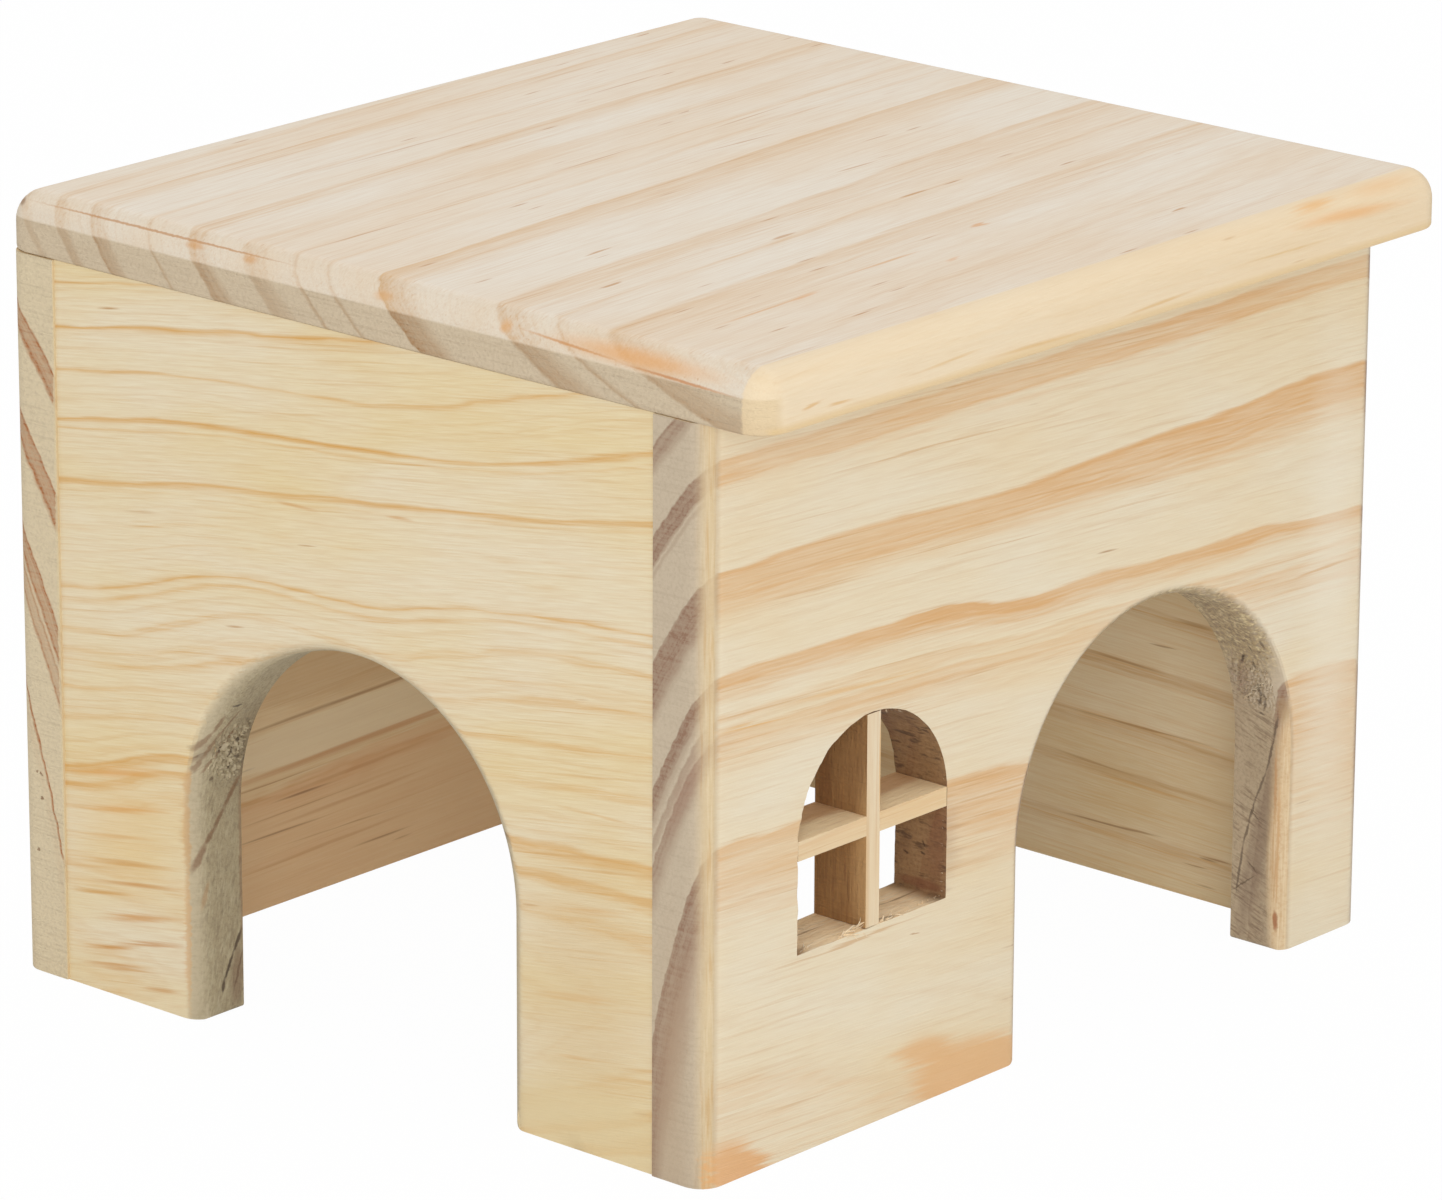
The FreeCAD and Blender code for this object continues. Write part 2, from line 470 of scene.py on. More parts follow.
def front_wall():
    """Full width, with the window and the doorway, both sawn roughly."""
    depth = wall_thickness
    wall = blank("front_wall_board", 0, house_width, 0, depth, 0, wall_height)
    round_edges(wall, corner_round, EDGE_STEPS, lambda one, other:
                is_at(0, one.y, other.y)
                and (is_at(0, one.x, other.x) or is_at(house_width, one.x, other.x)))
    cut_doorway(wall, front_doorway_middle, front_doorway_round,
                (doorway_foot_round, doorway_square_foot_round), depth)
    cut(wall, arch_cutter(window_middle, window_width, window_sill_height, window_spring_height, depth))
    for left in (True, False):
        drill_corner(wall, left, True)
    drill_under_roof(wall, wall_thickness / 2)
    soften_arrises(wall, arris_width)
    divide(wall, house_width, depth)
    roughen(wall, "doorway_reveal", grain_size=1.1, height=0.35, weight=reveal_weight(
        front_doorway_middle, doorway_width, doorway_leg_height, 0, depth, front_doorway_round))
    roughen(wall, "window_reveal", grain_size=0.9, height=0.45, weight=reveal_weight(
        window_middle, window_width, window_spring_height, window_sill_height, depth, margin=0.35))
    roughen(wall, "window_outline", grain_size=2.2, height=0.4, weight=outline_weight(
        window_middle, window_width, window_spring_height, window_sill_height))
    refine(wall, cuts=3, chosen=lambda place:
           (place - Vector(torn_front_middle)).length < torn_front_refined
           and place.x < front_doorway_right + 0.6)
    roughen(wall, "torn_patch", grain_size=0.32, height=1.4, weight=patch_weight(
        torn_front_middle, torn_front_reach, depth))
    tear(wall, FRONT_TORN_EDGES, seed=4)
    return wall


def back_wall():
    """Full width and plain."""
    wall = blank("back_wall_board", 0, house_width, back_wall_front, house_depth, 0, wall_height)
    round_edges(wall, corner_round, EDGE_STEPS, lambda one, other:
                is_at(house_depth, one.y, other.y)
                and (is_at(0, one.x, other.x) or is_at(house_width, one.x, other.x)))
    for left in (True, False):
        drill_corner(wall, left, False)
    drill_under_roof(wall, house_depth - wall_thickness / 2)
    soften_arrises(wall, back_arris_width)
    return wall


def left_side_wall():
    """Between the front and back walls, with the side doorway; cut lying along X, then turned."""
    depth = wall_thickness - side_setback
    length = back_wall_front - wall_thickness
    middle = back_wall_front - side_doorway_middle
    wall = blank("left_side_board", 0, length, 0, depth, 0, wall_height)
    cut_doorway(wall, middle, side_doorway_round,
                (doorway_square_foot_round, doorway_foot_round), depth)
    soften_arrises(wall, arris_width)
    divide(wall, length, depth)
    roughen(wall, "doorway_reveal", grain_size=1.1, height=0.35, weight=reveal_weight(
        middle, doorway_width, doorway_leg_height, 0, depth, side_doorway_round))
    refine(wall, cuts=3, chosen=lambda place:
           (place - Vector(torn_side_middle)).length < torn_side_refined)
    roughen(wall, "torn_patch", grain_size=0.5, height=1.6, weight=patch_weight(
        torn_side_middle, torn_side_reach, depth))
    wall.rotation_euler = (0, 0, -math.pi / 2)
    wall.location = (side_setback, back_wall_front, 0)
    keep_place(wall)
    for front in (True, False):
        drill_corner(wall, True, front)
    return wall


def right_side_wall():
    """Between the front and back walls, plain."""
    wall = blank(
        "right_side_board", right_wall_inside, house_width - side_setback,
        wall_thickness, back_wall_front, 0, wall_height)
    for front in (True, False):
        drill_corner(wall, False, front)
    soften_arrises(wall, arris_width)
    return wall


def roof():
    """Rounded at its four corners in plan, then along its upper and its lower edge."""
    board = blank(
        "roof_panel", 0, roof_width, roof_front, roof_front + roof_depth, wall_height, roof_top)
    round_edges(board, roof_corner_round, EDGE_STEPS, lambda one, other: abs(one.z - other.z) > 1)
    round_edges(board, roof_top_round, BROAD_EDGE_STEPS, lambda one, other:
                is_at(roof_top, one.z, other.z))
    round_edges(board, roof_underside_round, NARROW_EDGE_STEPS, lambda one, other:
                is_at(wall_height, one.z, other.z))
    for y in (wall_thickness / 2, house_depth - wall_thickness / 2):
        drill_under_roof(board, y)
    return board


def bar(upright):
    """A window bar, halved where the two cross: the upright one is whole at the front."""
    half = bar_width / 2
    past = notch_width / 2
    reach = window_width / 2 - bar_gap
    if upright:
        piece = blank(
            "upright_bar", window_middle - half, window_middle + half, 0, wall_thickness,
            window_sill_height + bar_gap, window_crown_height - bar_crown_gap)
        notch = blank(
            "notch", window_middle - past, window_middle + past, wall_thickness / 2,
            wall_thickness + 1, level_bar_middle - half, level_bar_middle + half)
    else:
        piece = blank(
            "level_bar", window_middle - reach, window_middle + reach,
            0, wall_thickness, level_bar_middle - half, level_bar_middle + half)
        notch = blank(
            "notch", window_middle - half, window_middle + half, -1, wall_thickness / 2,
            level_bar_middle - past, level_bar_middle + past)
    soften_arrises(piece, bar_arris_width)
    cut(piece, notch)
    return piece


# ---------------------------------------------------------------- wood finishes

def linear(code):
    """A colour written as sRGB hex, as the linear values that a socket takes."""
    shares = [int(code[place:place + 2], 16) / 255 for place in (1, 3, 5)]
    return [s / 12.92 if s <= 0.04045 else ((s + 0.055) / 1.055) ** 2.4 for s in shares] + [1]


def add(tree, kind, inputs=None, **settings):
    """Add a node with its settings; each input takes a value or another node's output."""
    node = tree.nodes.new(kind)
    for name, value in settings.items():
        setattr(node, name, value)
    for socket, source in (inputs or {}).items():
        if isinstance(source, bpy.types.NodeSocket):
            tree.links.new(source, node.inputs[socket])
        else:
            node.inputs[socket].default_value = source
    return node


def in_frame(x, y, z):
    """A place in millimetres from the house's corner, as metres in the frame."""
    return HOUSE_CORNER + Vector((x, y, z)) * MM


def turn_along(start, end):
    """The turn that takes the X axis along the line from start to end."""
    line = Vector(end) - Vector(start)
    return (0, -math.atan2(line.z, math.hypot(line.x, line.y)), math.atan2(line.y, line.x))


def ring_darkness(tree, distance, grain):
    """How dark the wood is at a distance from the pith, from 0 pale to 1 latewood.

    Each ring is (outer radius, how far inwards it fades to pale, darkness). A ramp holds
    only 32 stops, so the rings are shared out over as many ramps as they need.
    """
    low, high = grain["ring_range"]
    place = ranged(tree, distance, low, high, 0, 1)
    darkness = None
    for first in range(0, len(grain["rings"]), RINGS_PER_RAMP):
        ramp = add(tree, "ShaderNodeValToRGB", {0: place})
        ramp.color_ramp.interpolation = "LINEAR"
        stops = ramp.color_ramp.elements
        stops.remove(stops[1])
        stops[0].position = 0
        stops[0].color = (0, 0, 0, 1)
        for outer, fade, strength in grain["rings"][first:first + RINGS_PER_RAMP]:
            profile = [
                (outer - share * fade, level * strength) for share, level in grain["ring_profile"]]
            for radius, level in profile + [(outer + RING_EDGE, 0)]:
                stop = stops.new(min(1, max(0, (radius - low) / (high - low))))
                stop.color = (level, level, level, 1)
        if darkness is None:
            darkness = ramp.outputs[0]
        else:
            darkness = larger(tree, darkness, ramp.outputs[0])
    return darkness


def noise_at(tree, place, lengths, detail, offset):
    """Noise whose grains are this long in millimetres along the three axes of place."""
    stretched = add(tree, "ShaderNodeVectorMath", {
        0: place, 1: [1 / length for length in lengths], 2: (offset, offset, offset)},
        operation="MULTIPLY_ADD")
    return add(tree, "ShaderNodeTexNoise", {
        "Vector": stretched.outputs[0], "Scale": 1.0, "Detail": detail, "Roughness": 0.55})


def ranged(tree, value, low, high, result_low, result_high, clamp=True):
    """A value's range stretched to another one."""
    return add(tree, "ShaderNodeMapRange", {
        0: value, 1: low, 2: high, 3: result_low, 4: result_high}, clamp=clamp).outputs[0]


def larger(tree, value, other):
    """The larger of two values."""
    return add(tree, "ShaderNodeMath", {0: value, 1: other}, operation="MAXIMUM").outputs[0]


def blended(tree, share, colour, other):
    """Two colours mixed by a share; each is a hex code or a node's output."""
    sources = [linear(source) if isinstance(source, str) else source for source in (colour, other)]
    return add(
        tree, "ShaderNodeMix", {0: share, 6: sources[0], 7: sources[1]}, data_type="RGBA").outputs[2]


def tinted(tree, colour, pattern, low, high, amount, tint):
    """A colour with a tint laid over it, from none where a pattern is low to amount where high."""
    return blended(tree, ranged(tree, pattern, low, high, 0, amount), colour, tint)


def product(tree, *values):
    """Several values multiplied."""
    result = values[0]
    for value in values[1:]:
        result = add(tree, "ShaderNodeMath", {0: result, 1: value}, operation="MULTIPLY").outputs[0]
    return result


def facing(tree, normal, direction):
    """How squarely a surface faces along a direction, forwards or backwards."""
    dot = add(tree, "ShaderNodeVectorMath", {0: normal, 1: Vector(direction).normalized()},
              operation="DOT_PRODUCT")
    return add(tree, "ShaderNodeMath", {0: dot.outputs["Value"]}, operation="ABSOLUTE").outputs[0]


def inside_shape(tree, place, middle, half_sizes, turn, softness):
    """1 in the middle of an ellipsoid, fading to 0 at its outline; sizes in millimetres."""
    relative = add(tree, "ShaderNodeMapping", {
        "Vector": place, "Location": in_frame(*middle),
        "Rotation": [math.radians(angle) for angle in turn],
        "Scale": [half * MM for half in half_sizes]}, vector_type="TEXTURE")
    reach = add(tree, "ShaderNodeVectorMath", {0: relative.outputs[0]}, operation="LENGTH")
    return add(tree, "ShaderNodeMapRange", {
        0: reach.outputs["Value"], 1: 1 - softness, 2: 1, 3: 1, 4: 0},
        interpolation_type="SMOOTHSTEP", clamp=False).outputs[0]


def line_shape(tree, place, points, half_width, grain):
    """1 on a line through places on a sawn arched edge, fading to 0 at the line's sides."""
    share = None
    outward = Vector(grain["outward"])
    for start, end in zip(points, points[1:]):
        start, end = Vector(start), Vector(end)
        middle = (start + end) / 2
        along = (end - start).normalized()

        # into the wood: away from the arch's middle, or level below the arch
        into = middle - Vector(grain["arch_middle"])
        into.z = max(0, into.z)
        into -= outward * into.dot(outward)
        into = (into - along * into.dot(along)).normalized()
        turn = Matrix((along, into, along.cross(into))).transposed().to_euler()
        half_sizes = (LINE_OVERLAP * (end - start).length, LINE_DEPTH, half_width)
        degrees = [math.degrees(angle) for angle in turn]
        run = inside_shape(tree, place, middle, half_sizes, degrees, LINE_SOFTNESS)
        share = larger(tree, share, run) if share else run
    return share


def board_place(tree, here, start, end):
    """Places in millimetres from start, with X along the line from start to end."""
    return add(tree, "ShaderNodeMapping", {
        "Vector": here, "Location": in_frame(*start), "Rotation": turn_along(start, end),
        "Scale": (MM, MM, MM)}, vector_type="TEXTURE").outputs[0]


def lay_grain(tree, grain):
    """The places, directions and ring pattern that all of a board's colours start from."""
    coordinates = add(tree, "ShaderNodeTexCoord")
    here = coordinates.outputs["Object"]
    wood = {"here": here, "normal": coordinates.outputs["Normal"]}
    wood["house"] = board_place(tree, here, (0, 0, 0), (1, 0, 0))
    wood["fibre"] = board_place(tree, here, *grain["fibre_line"])
    seed = grain["seed"]

    # distance from the pith, wavering along the board and bulging where the trunk did
    around_pith = board_place(tree, here, grain["pith_start"], grain["pith_end"])
    across = add(tree, "ShaderNodeVectorMath", {0: around_pith, 1: (0, 1, 1)}, operation="MULTIPLY")
    distance = add(
        tree, "ShaderNodeVectorMath", {0: across.outputs[0]}, operation="LENGTH").outputs["Value"]
    broad = noise_at(tree, wood["fibre"], (50, 25, 25), 1, seed).outputs[0]
    fine = noise_at(tree, wood["fibre"], (14, 2.2, 2.2), 2, seed + 1).outputs[0]
    shifts = [ranged(tree, broad, 0, 1, -grain["broad_waver"], grain["broad_waver"]),
              ranged(tree, fine, 0, 1, -grain["fine_waver"], grain["fine_waver"])]
    for middle, half_sizes, bulge in grain["swerves"]:
        near = inside_shape(tree, here, middle, half_sizes, UNTURNED, 1)
        shifts.append(ranged(tree, near, 0, 1, 0, -bulge))
    for shift in shifts:
        distance = add(tree, "ShaderNodeMath", {0: distance, 1: shift}, operation="ADD").outputs[0]
    wood["rings"] = ring_darkness(tree, distance, grain)

    # thin layers inside each ring
    layers = add(
        tree, "ShaderNodeMath", {0: distance, 1: LAYERS_PER_MM}, operation="MULTIPLY").outputs[0]
    wood["layers"] = add(
        tree, "ShaderNodeTexNoise", {"W": layers, "Scale": 1.0, "Detail": 2},
        noise_dimensions="1D").outputs[0]
    wood["streaks"] = noise_at(tree, wood["fibre"], (26, 0.7, 0.7), 3, seed + 5)
    wood["fuzz"] = noise_at(tree, wood["fibre"], (2.5, 0.5, 0.5), 3, seed + 31).outputs[0]
    wood["strokes"] = noise_at(tree, wood["house"], grain["stroke_lengths"], 2, seed + 37).outputs[0]
    wood["fibres"] = noise_at(tree, wood["fibre"], (7, 0.24, 0.24), 2, seed + 3).outputs[0]
    return wood


def face_colour(tree, grain, wood):
    """Colour of a board's faces: bands that fade in streaks, fine fibres with a painted sheen, and resin
    canals.
    """
    seed = grain["seed"]
    comb = ranged(tree, wood["streaks"].outputs[0], 0.38, 0.62, 0, 1.2)
    pale_share = ranged(tree, wood["rings"], 0, 1, 1, 0)
    kept = ranged(tree, product(tree, comb, pale_share), 0, 1, 1, 0)
    patches = noise_at(tree, wood["fibre"], (40, 8, 8), 2, seed + 13).outputs[0]
    band = product(tree, wood["rings"], kept, ranged(tree, patches, 0.3, 0.7, 0.75, 1.25),
                   ranged(tree, wood["layers"], 0.3, 0.7, 0.7, 1.2))
    band = ranged(tree, band, 0, 1, 0, 1)

    clouds = noise_at(tree, wood["fibre"], (50, 16, 16), 2, seed + 21).outputs[0]
    colour = tinted(tree, grain["pale"], clouds, 0.35, 0.65, 1, grain["blush"])
    colour = tinted(tree, colour, wood["layers"], 0.5, 0.8, grain["layering"], grain["streak"])
    colour = blended(tree, band, colour, grain["late"])
    colour = tinted(tree, colour, wood["fibres"], 0.42, 0.75, grain["fibres"], grain["streak"])
    # painted sheen: paler fibres where the fibre noise is low, a highlight laid into the colour
    colour = tinted(tree, colour, wood["fibres"], 0.5, 0.25, grain["fibres"], grain["painted_sheen"])
    long_streaks = noise_at(tree, wood["fibre"], (34, 0.45, 0.45), 2, seed + 8).outputs[0]
    near_band = ranged(tree, wood["rings"], 0, 0.5, 0.45, 1)
    streaked = ranged(tree, long_streaks, 0.58, 0.74, 0, grain["streaks"])
    colour = blended(tree, product(tree, streaked, near_band), colour, grain["streak"])

    # resin canals: short thin brown dashes, in clusters
    cells = add(tree, "ShaderNodeVectorMath", {
        0: wood["fibre"], 1: [1 / length for length in CANAL_CELL], 2: (seed, seed, seed)},
        operation="MULTIPLY_ADD")
    bent_cells = add(tree, "ShaderNodeVectorMath", {
        0: wood["streaks"].outputs[1], 1: (0.3, 0.3, 0.3), 2: cells.outputs[0]}, operation="MULTIPLY_ADD")
    canals = add(tree, "ShaderNodeTexVoronoi", {"Vector": bent_cells.outputs[0], "Scale": 1.0})
    lottery = add(tree, "ShaderNodeSeparateColor", {0: canals.outputs["Color"]}).outputs[0]
    crowding = ranged(tree, patches, 0.35, 0.65, 0.3, 1.7)
    chosen = add(tree, "ShaderNodeMath", {
        0: lottery, 1: product(tree, crowding, grain["canals"])}, operation="LESS_THAN").outputs[0]
    dash = product(tree, ranged(tree, canals.outputs["Distance"], 0.04, 0.15, 0.75, 0), chosen)
    return blended(tree, dash, colour, grain["canal"])


def end_colour(tree, grain, wood):
    """Colour of a sawn and sanded end: greyer, its rings striped, with thin saw strokes."""
    low, high = grain["end_rings"]
    rings = product(tree, ranged(tree, wood["rings"], low, high, 0, 1),
                    ranged(tree, wood["layers"], 0.3, 0.65, 0.8, 1.1),
                    ranged(tree, wood["fuzz"], 0.3, 0.7, 1.15, 0.75),
                    ranged(tree, wood["strokes"], 0.35, 0.65, 1.1, 0.8))
    colour = tinted(tree, grain["end_pale"], rings, 0, 1.1, 1, grain["end_late"])
    colour = tinted(tree, colour, wood["strokes"], 0.5, 0.75, 0.17, grain["pit"])
    return tinted(tree, colour, wood["fuzz"], 0.45, 0.75, 0.2, grain["pit"])


def sawn_colour(tree, grain, wood, zone):
    """Colour of a jigsawn edge: brown pits between torn pale fibres, and rings across it."""
    sawn = board_place(tree, wood["here"], (0, 0, 0), zone["scratch_line"])
    scratches = noise_at(tree, sawn, zone["scratch_lengths"], 2, grain["seed"] + 47).outputs[0]
    blotches = noise_at(tree, wood["house"], zone["blotch_lengths"], 3, grain["seed"] + 51).outputs[0]
    pale_fuzz = noise_at(tree, sawn, zone["whisker_lengths"], 3, grain["seed"] + 43).outputs[0]
    low, high = zone["ring_levels"]
    rings = product(tree, ranged(tree, wood["rings"], low, high, 0, zone["rings"]),
                    ranged(tree, blotches, 0.3, 0.6, 1, 0.6))
    patches = noise_at(tree, wood["house"], (9, 9, 7), 1, grain["seed"] + 53).outputs[0]
    scratches = product(tree, scratches, ranged(tree, patches, 0.35, 0.6, 0.85, 1.05))
    colour = blended(tree, rings, zone["pale"], zone["late"])
    for pattern, low, high, amount in (
            (scratches, 0.52, 0.68, zone["scratches"]), (wood["fuzz"], 0.45, 0.7, zone["fuzz"]),
            (blotches, 0.56, 0.66, zone["blotches"])):
        colour = tinted(tree, colour, pattern, low, high, amount, zone["pit"])
    return tinted(tree, colour, pale_fuzz, 0.5, 0.72, zone["whiskers"], zone["whisker"])


def pine(name, grain):
    """Planed and sanded pine: pale earlywood, orange latewood, greyer and rougher on end grain.

    Rings are circles round a pith line, so they run out as bands on the faces and as arcs on
    the ends. Fine fibre streaks and short resin canals lie along the grain.

    The front wall's material is close to the largest that Cycles can hold: with about six marks
    or runs of a line more, the whole wall renders black.
    """
    material = bpy.data.materials.new(name)
    material.use_nodes = True
    tree = material.node_tree
    tree.nodes.clear()
    wood = lay_grain(tree, grain)
    colour = face_colour(tree, grain, wood)

    # ends, weaker above the level where a rounded-over edge starts
    fibre_start, fibre_end = grain["fibre_line"]
    squareness = facing(tree, wood["normal"], Vector(fibre_end) - Vector(fibre_start))
    end_share = add(tree, "ShaderNodeMapRange", {
        0: squareness, 1: 0.08, 2: 0.5, 3: 0, 4: 1}, interpolation_type="SMOOTHSTEP").outputs[0]
    height = add(tree, "ShaderNodeSeparateXYZ", {0: wood["house"]}).outputs[2]
    level, share_above = grain["end_top"]
    above = ranged(tree, height, level - END_TOP_FADE, level + END_TOP_FADE, 1, share_above)
    end_share = product(tree, end_share, above)
    colour = blended(tree, end_share, colour, end_colour(tree, grain, wood))

    # sawn edges of the openings
    on_face = facing(tree, wood["normal"], grain["outward"])
    rough_share = end_share
    for zone in grain["zones"]:
        starts, full = zone["turned_off_face"]
        turned = ranged(tree, on_face, starts, full, 0, 1)
        near = inside_shape(
            tree, wood["here"], zone["middle"], zone["half_sizes"], UNTURNED, zone["softness"])
        share = product(tree, turned, near)
        frayed = ranged(tree, wood["fuzz"], 0.35, 0.65, 1 + zone["fray"], 1 - zone["fray"])
        share = ranged(tree, product(tree, share, frayed), 0, 1, 0, 1)
        colour = blended(tree, share, colour, sawn_colour(tree, grain, wood, zone))
        rough_share = larger(tree, product(tree, rough_share, 0.5), share)

    # spots, streaks and patches
    wander = add(tree, "ShaderNodeVectorMath", {
        0: wood["streaks"].outputs[1], 1: (0.5, 0.5, 0.5)}, operation="SUBTRACT")
    ragged = add(tree, "ShaderNodeVectorMath", {
        0: wander.outputs[0], 1: [reach * MM for reach in grain["ragged"]], 2: wood["here"]},
        operation="MULTIPLY_ADD")
    for middle, half_sizes, turn, softness, code, strength in grain["marks"]:
        share = inside_shape(tree, ragged.outputs[0], middle, half_sizes, turn, softness)
        colour = blended(tree, product(tree, share, strength), colour, code)

    # cracks and dark ring lines on sawn edges
    unsteady = add(tree, "ShaderNodeVectorMath", {
        0: wander.outputs[0], 1: [LINE_WAVER * MM] * 3, 2: wood["here"]}, operation="MULTIPLY_ADD")
    for points, half_width, code, strength in grain["lines"]:
        share = line_shape(tree, unsteady.outputs[0], points, half_width, grain)
        colour = blended(tree, product(tree, share, strength), colour, code)

    # raised fibres on the faces, fuzz and strokes on the ends
    torn = add(tree, "ShaderNodeMath", {0: wood["fuzz"], 1: wood["strokes"]}, operation="ADD").outputs[0]
    relief = add(
        tree, "ShaderNodeMix", {0: rough_share, 2: wood["fibres"], 3: torn}, data_type="FLOAT").outputs[0]
    bump = add(tree, "ShaderNodeBump", {
        "Height": relief, "Strength": ranged(tree, rough_share, 0, 1, PLANED_RELIEF, 1),
        "Distance": FIBRE_RELIEF * MM})
    surface = add(tree, "ShaderNodeBsdfPrincipled", {
        "Base Color": colour,
        "Roughness": ranged(tree, rough_share, 0, 1, PLANED_ROUGHNESS, SAWN_ROUGHNESS),
        "Normal": bump.outputs[0], "IOR": WOOD_IOR})
    add(tree, "ShaderNodeOutputMaterial", {"Surface": surface.outputs[0]})
    return material


LAYERS_PER_MM = 1.6                     # thin layers inside a ring
CANAL_CELL = (17, 1.5, 1.5)             # millimetres of wood along and across for each resin canal
END_TOP_FADE = 0.15                     # half the height over which end_top takes hold
FIBRE_RELIEF = 0.25                     # height of raised fibres in millimetres
PLANED_RELIEF = 0.25                    # a planed face's relief by that of a sawn one
PLANED_ROUGHNESS = 0.6
SAWN_ROUGHNESS = 0.88
WOOD_IOR = 1.5
RINGS_PER_RAMP = 5                      # a colour ramp holds no more than 32 stops
RING_EDGE = 0.15                        # how far a ring fades outwards, in millimetres
FAR = 1000                              # a half size that never ends within the house
FACE_DEPTH = 1                          # how far a mark on a face reaches into the wood
LINE_DEPTH = 3                          # how far a drawn line reaches into and out of the wood
LINE_WAVER = 0.5                        # how far a drawn line wavers, in millimetres
LINE_SOFTNESS = 0.6                     # the share of a drawn line's half width that fades
LINE_OVERLAP = 0.75                     # half the length of each run of a line, by its points' distance


def marks_on(axis, level, depth, *rows):
    """Marks on faces square to an axis at this level, which reach this deep, as pine() takes them.

    A row has the middle and the half sizes along the other two axes, the turn about this axis
    in degrees, the share of the mark that fades, its colour and its strength.
    """
    marks = []
    for across, up, half_across, half_up, angle, softness, code, strength in rows:
        middle, half_sizes, turn = [across, up], [half_across, half_up], [0, 0]
        for values, value in ((middle, level), (half_sizes, depth), (turn, angle)):
            values.insert(axis, value)
        marks.append((middle, half_sizes, turn, softness, code, strength))
    return marks


# Jigsawn edges. A zone is an ellipsoid round an opening, and it colours only what is turned off
# the board's outward direction: turned_off_face says how squarely a place faces outwards where
# the colour starts and where it is full, and fray how far the fuzz breaks the colour up.
DOORWAY_EDGE = {
    "softness": 0.02, "fray": 0, "turned_off_face": (0.45, 0.08), "pale": "#bda98c",
    "late": "#8b7058", "pit": "#6a523c", "whisker": "#cfc0a2", "rings": 0.6, "ring_levels": (0.35, 0.9),
    "scratches": 0.55, "fuzz": 0.3, "blotches": 0.1, "whiskers": 0.35, "scratch_line": (0, 10, 3.6),
    "scratch_lengths": (3.5, 3.5, 0.35), "whisker_lengths": (2, 2, 0.3), "blotch_lengths": (3, 3, 1.2)}
WINDOW_EDGE = {
    "softness": 0.02, "fray": 0, "turned_off_face": (0.9, 0.5), "pale": "#9b7852",
    "late": "#805236", "pit": "#483020", "whisker": "#b8966c", "rings": 0.5, "ring_levels": (0.2, 0.9),
    "scratches": 0.25, "fuzz": 0.3, "blotches": 0.7, "whiskers": 0.35, "scratch_line": (0, 10, 0),
    "scratch_lengths": (2.5, 2.5, 0.4), "whisker_lengths": (1.6, 1.6, 0.4),
    "blotch_lengths": (3.6, 3.6, 0.8)}
SIDE_EDGE = dict(
    DOORWAY_EDGE, rings=0, ring_levels=(0.72, 0.9), scratches=0.3, scratch_line=(2, 0, 10),
    blotch_lengths=(0.9, 0.9, 0.9))

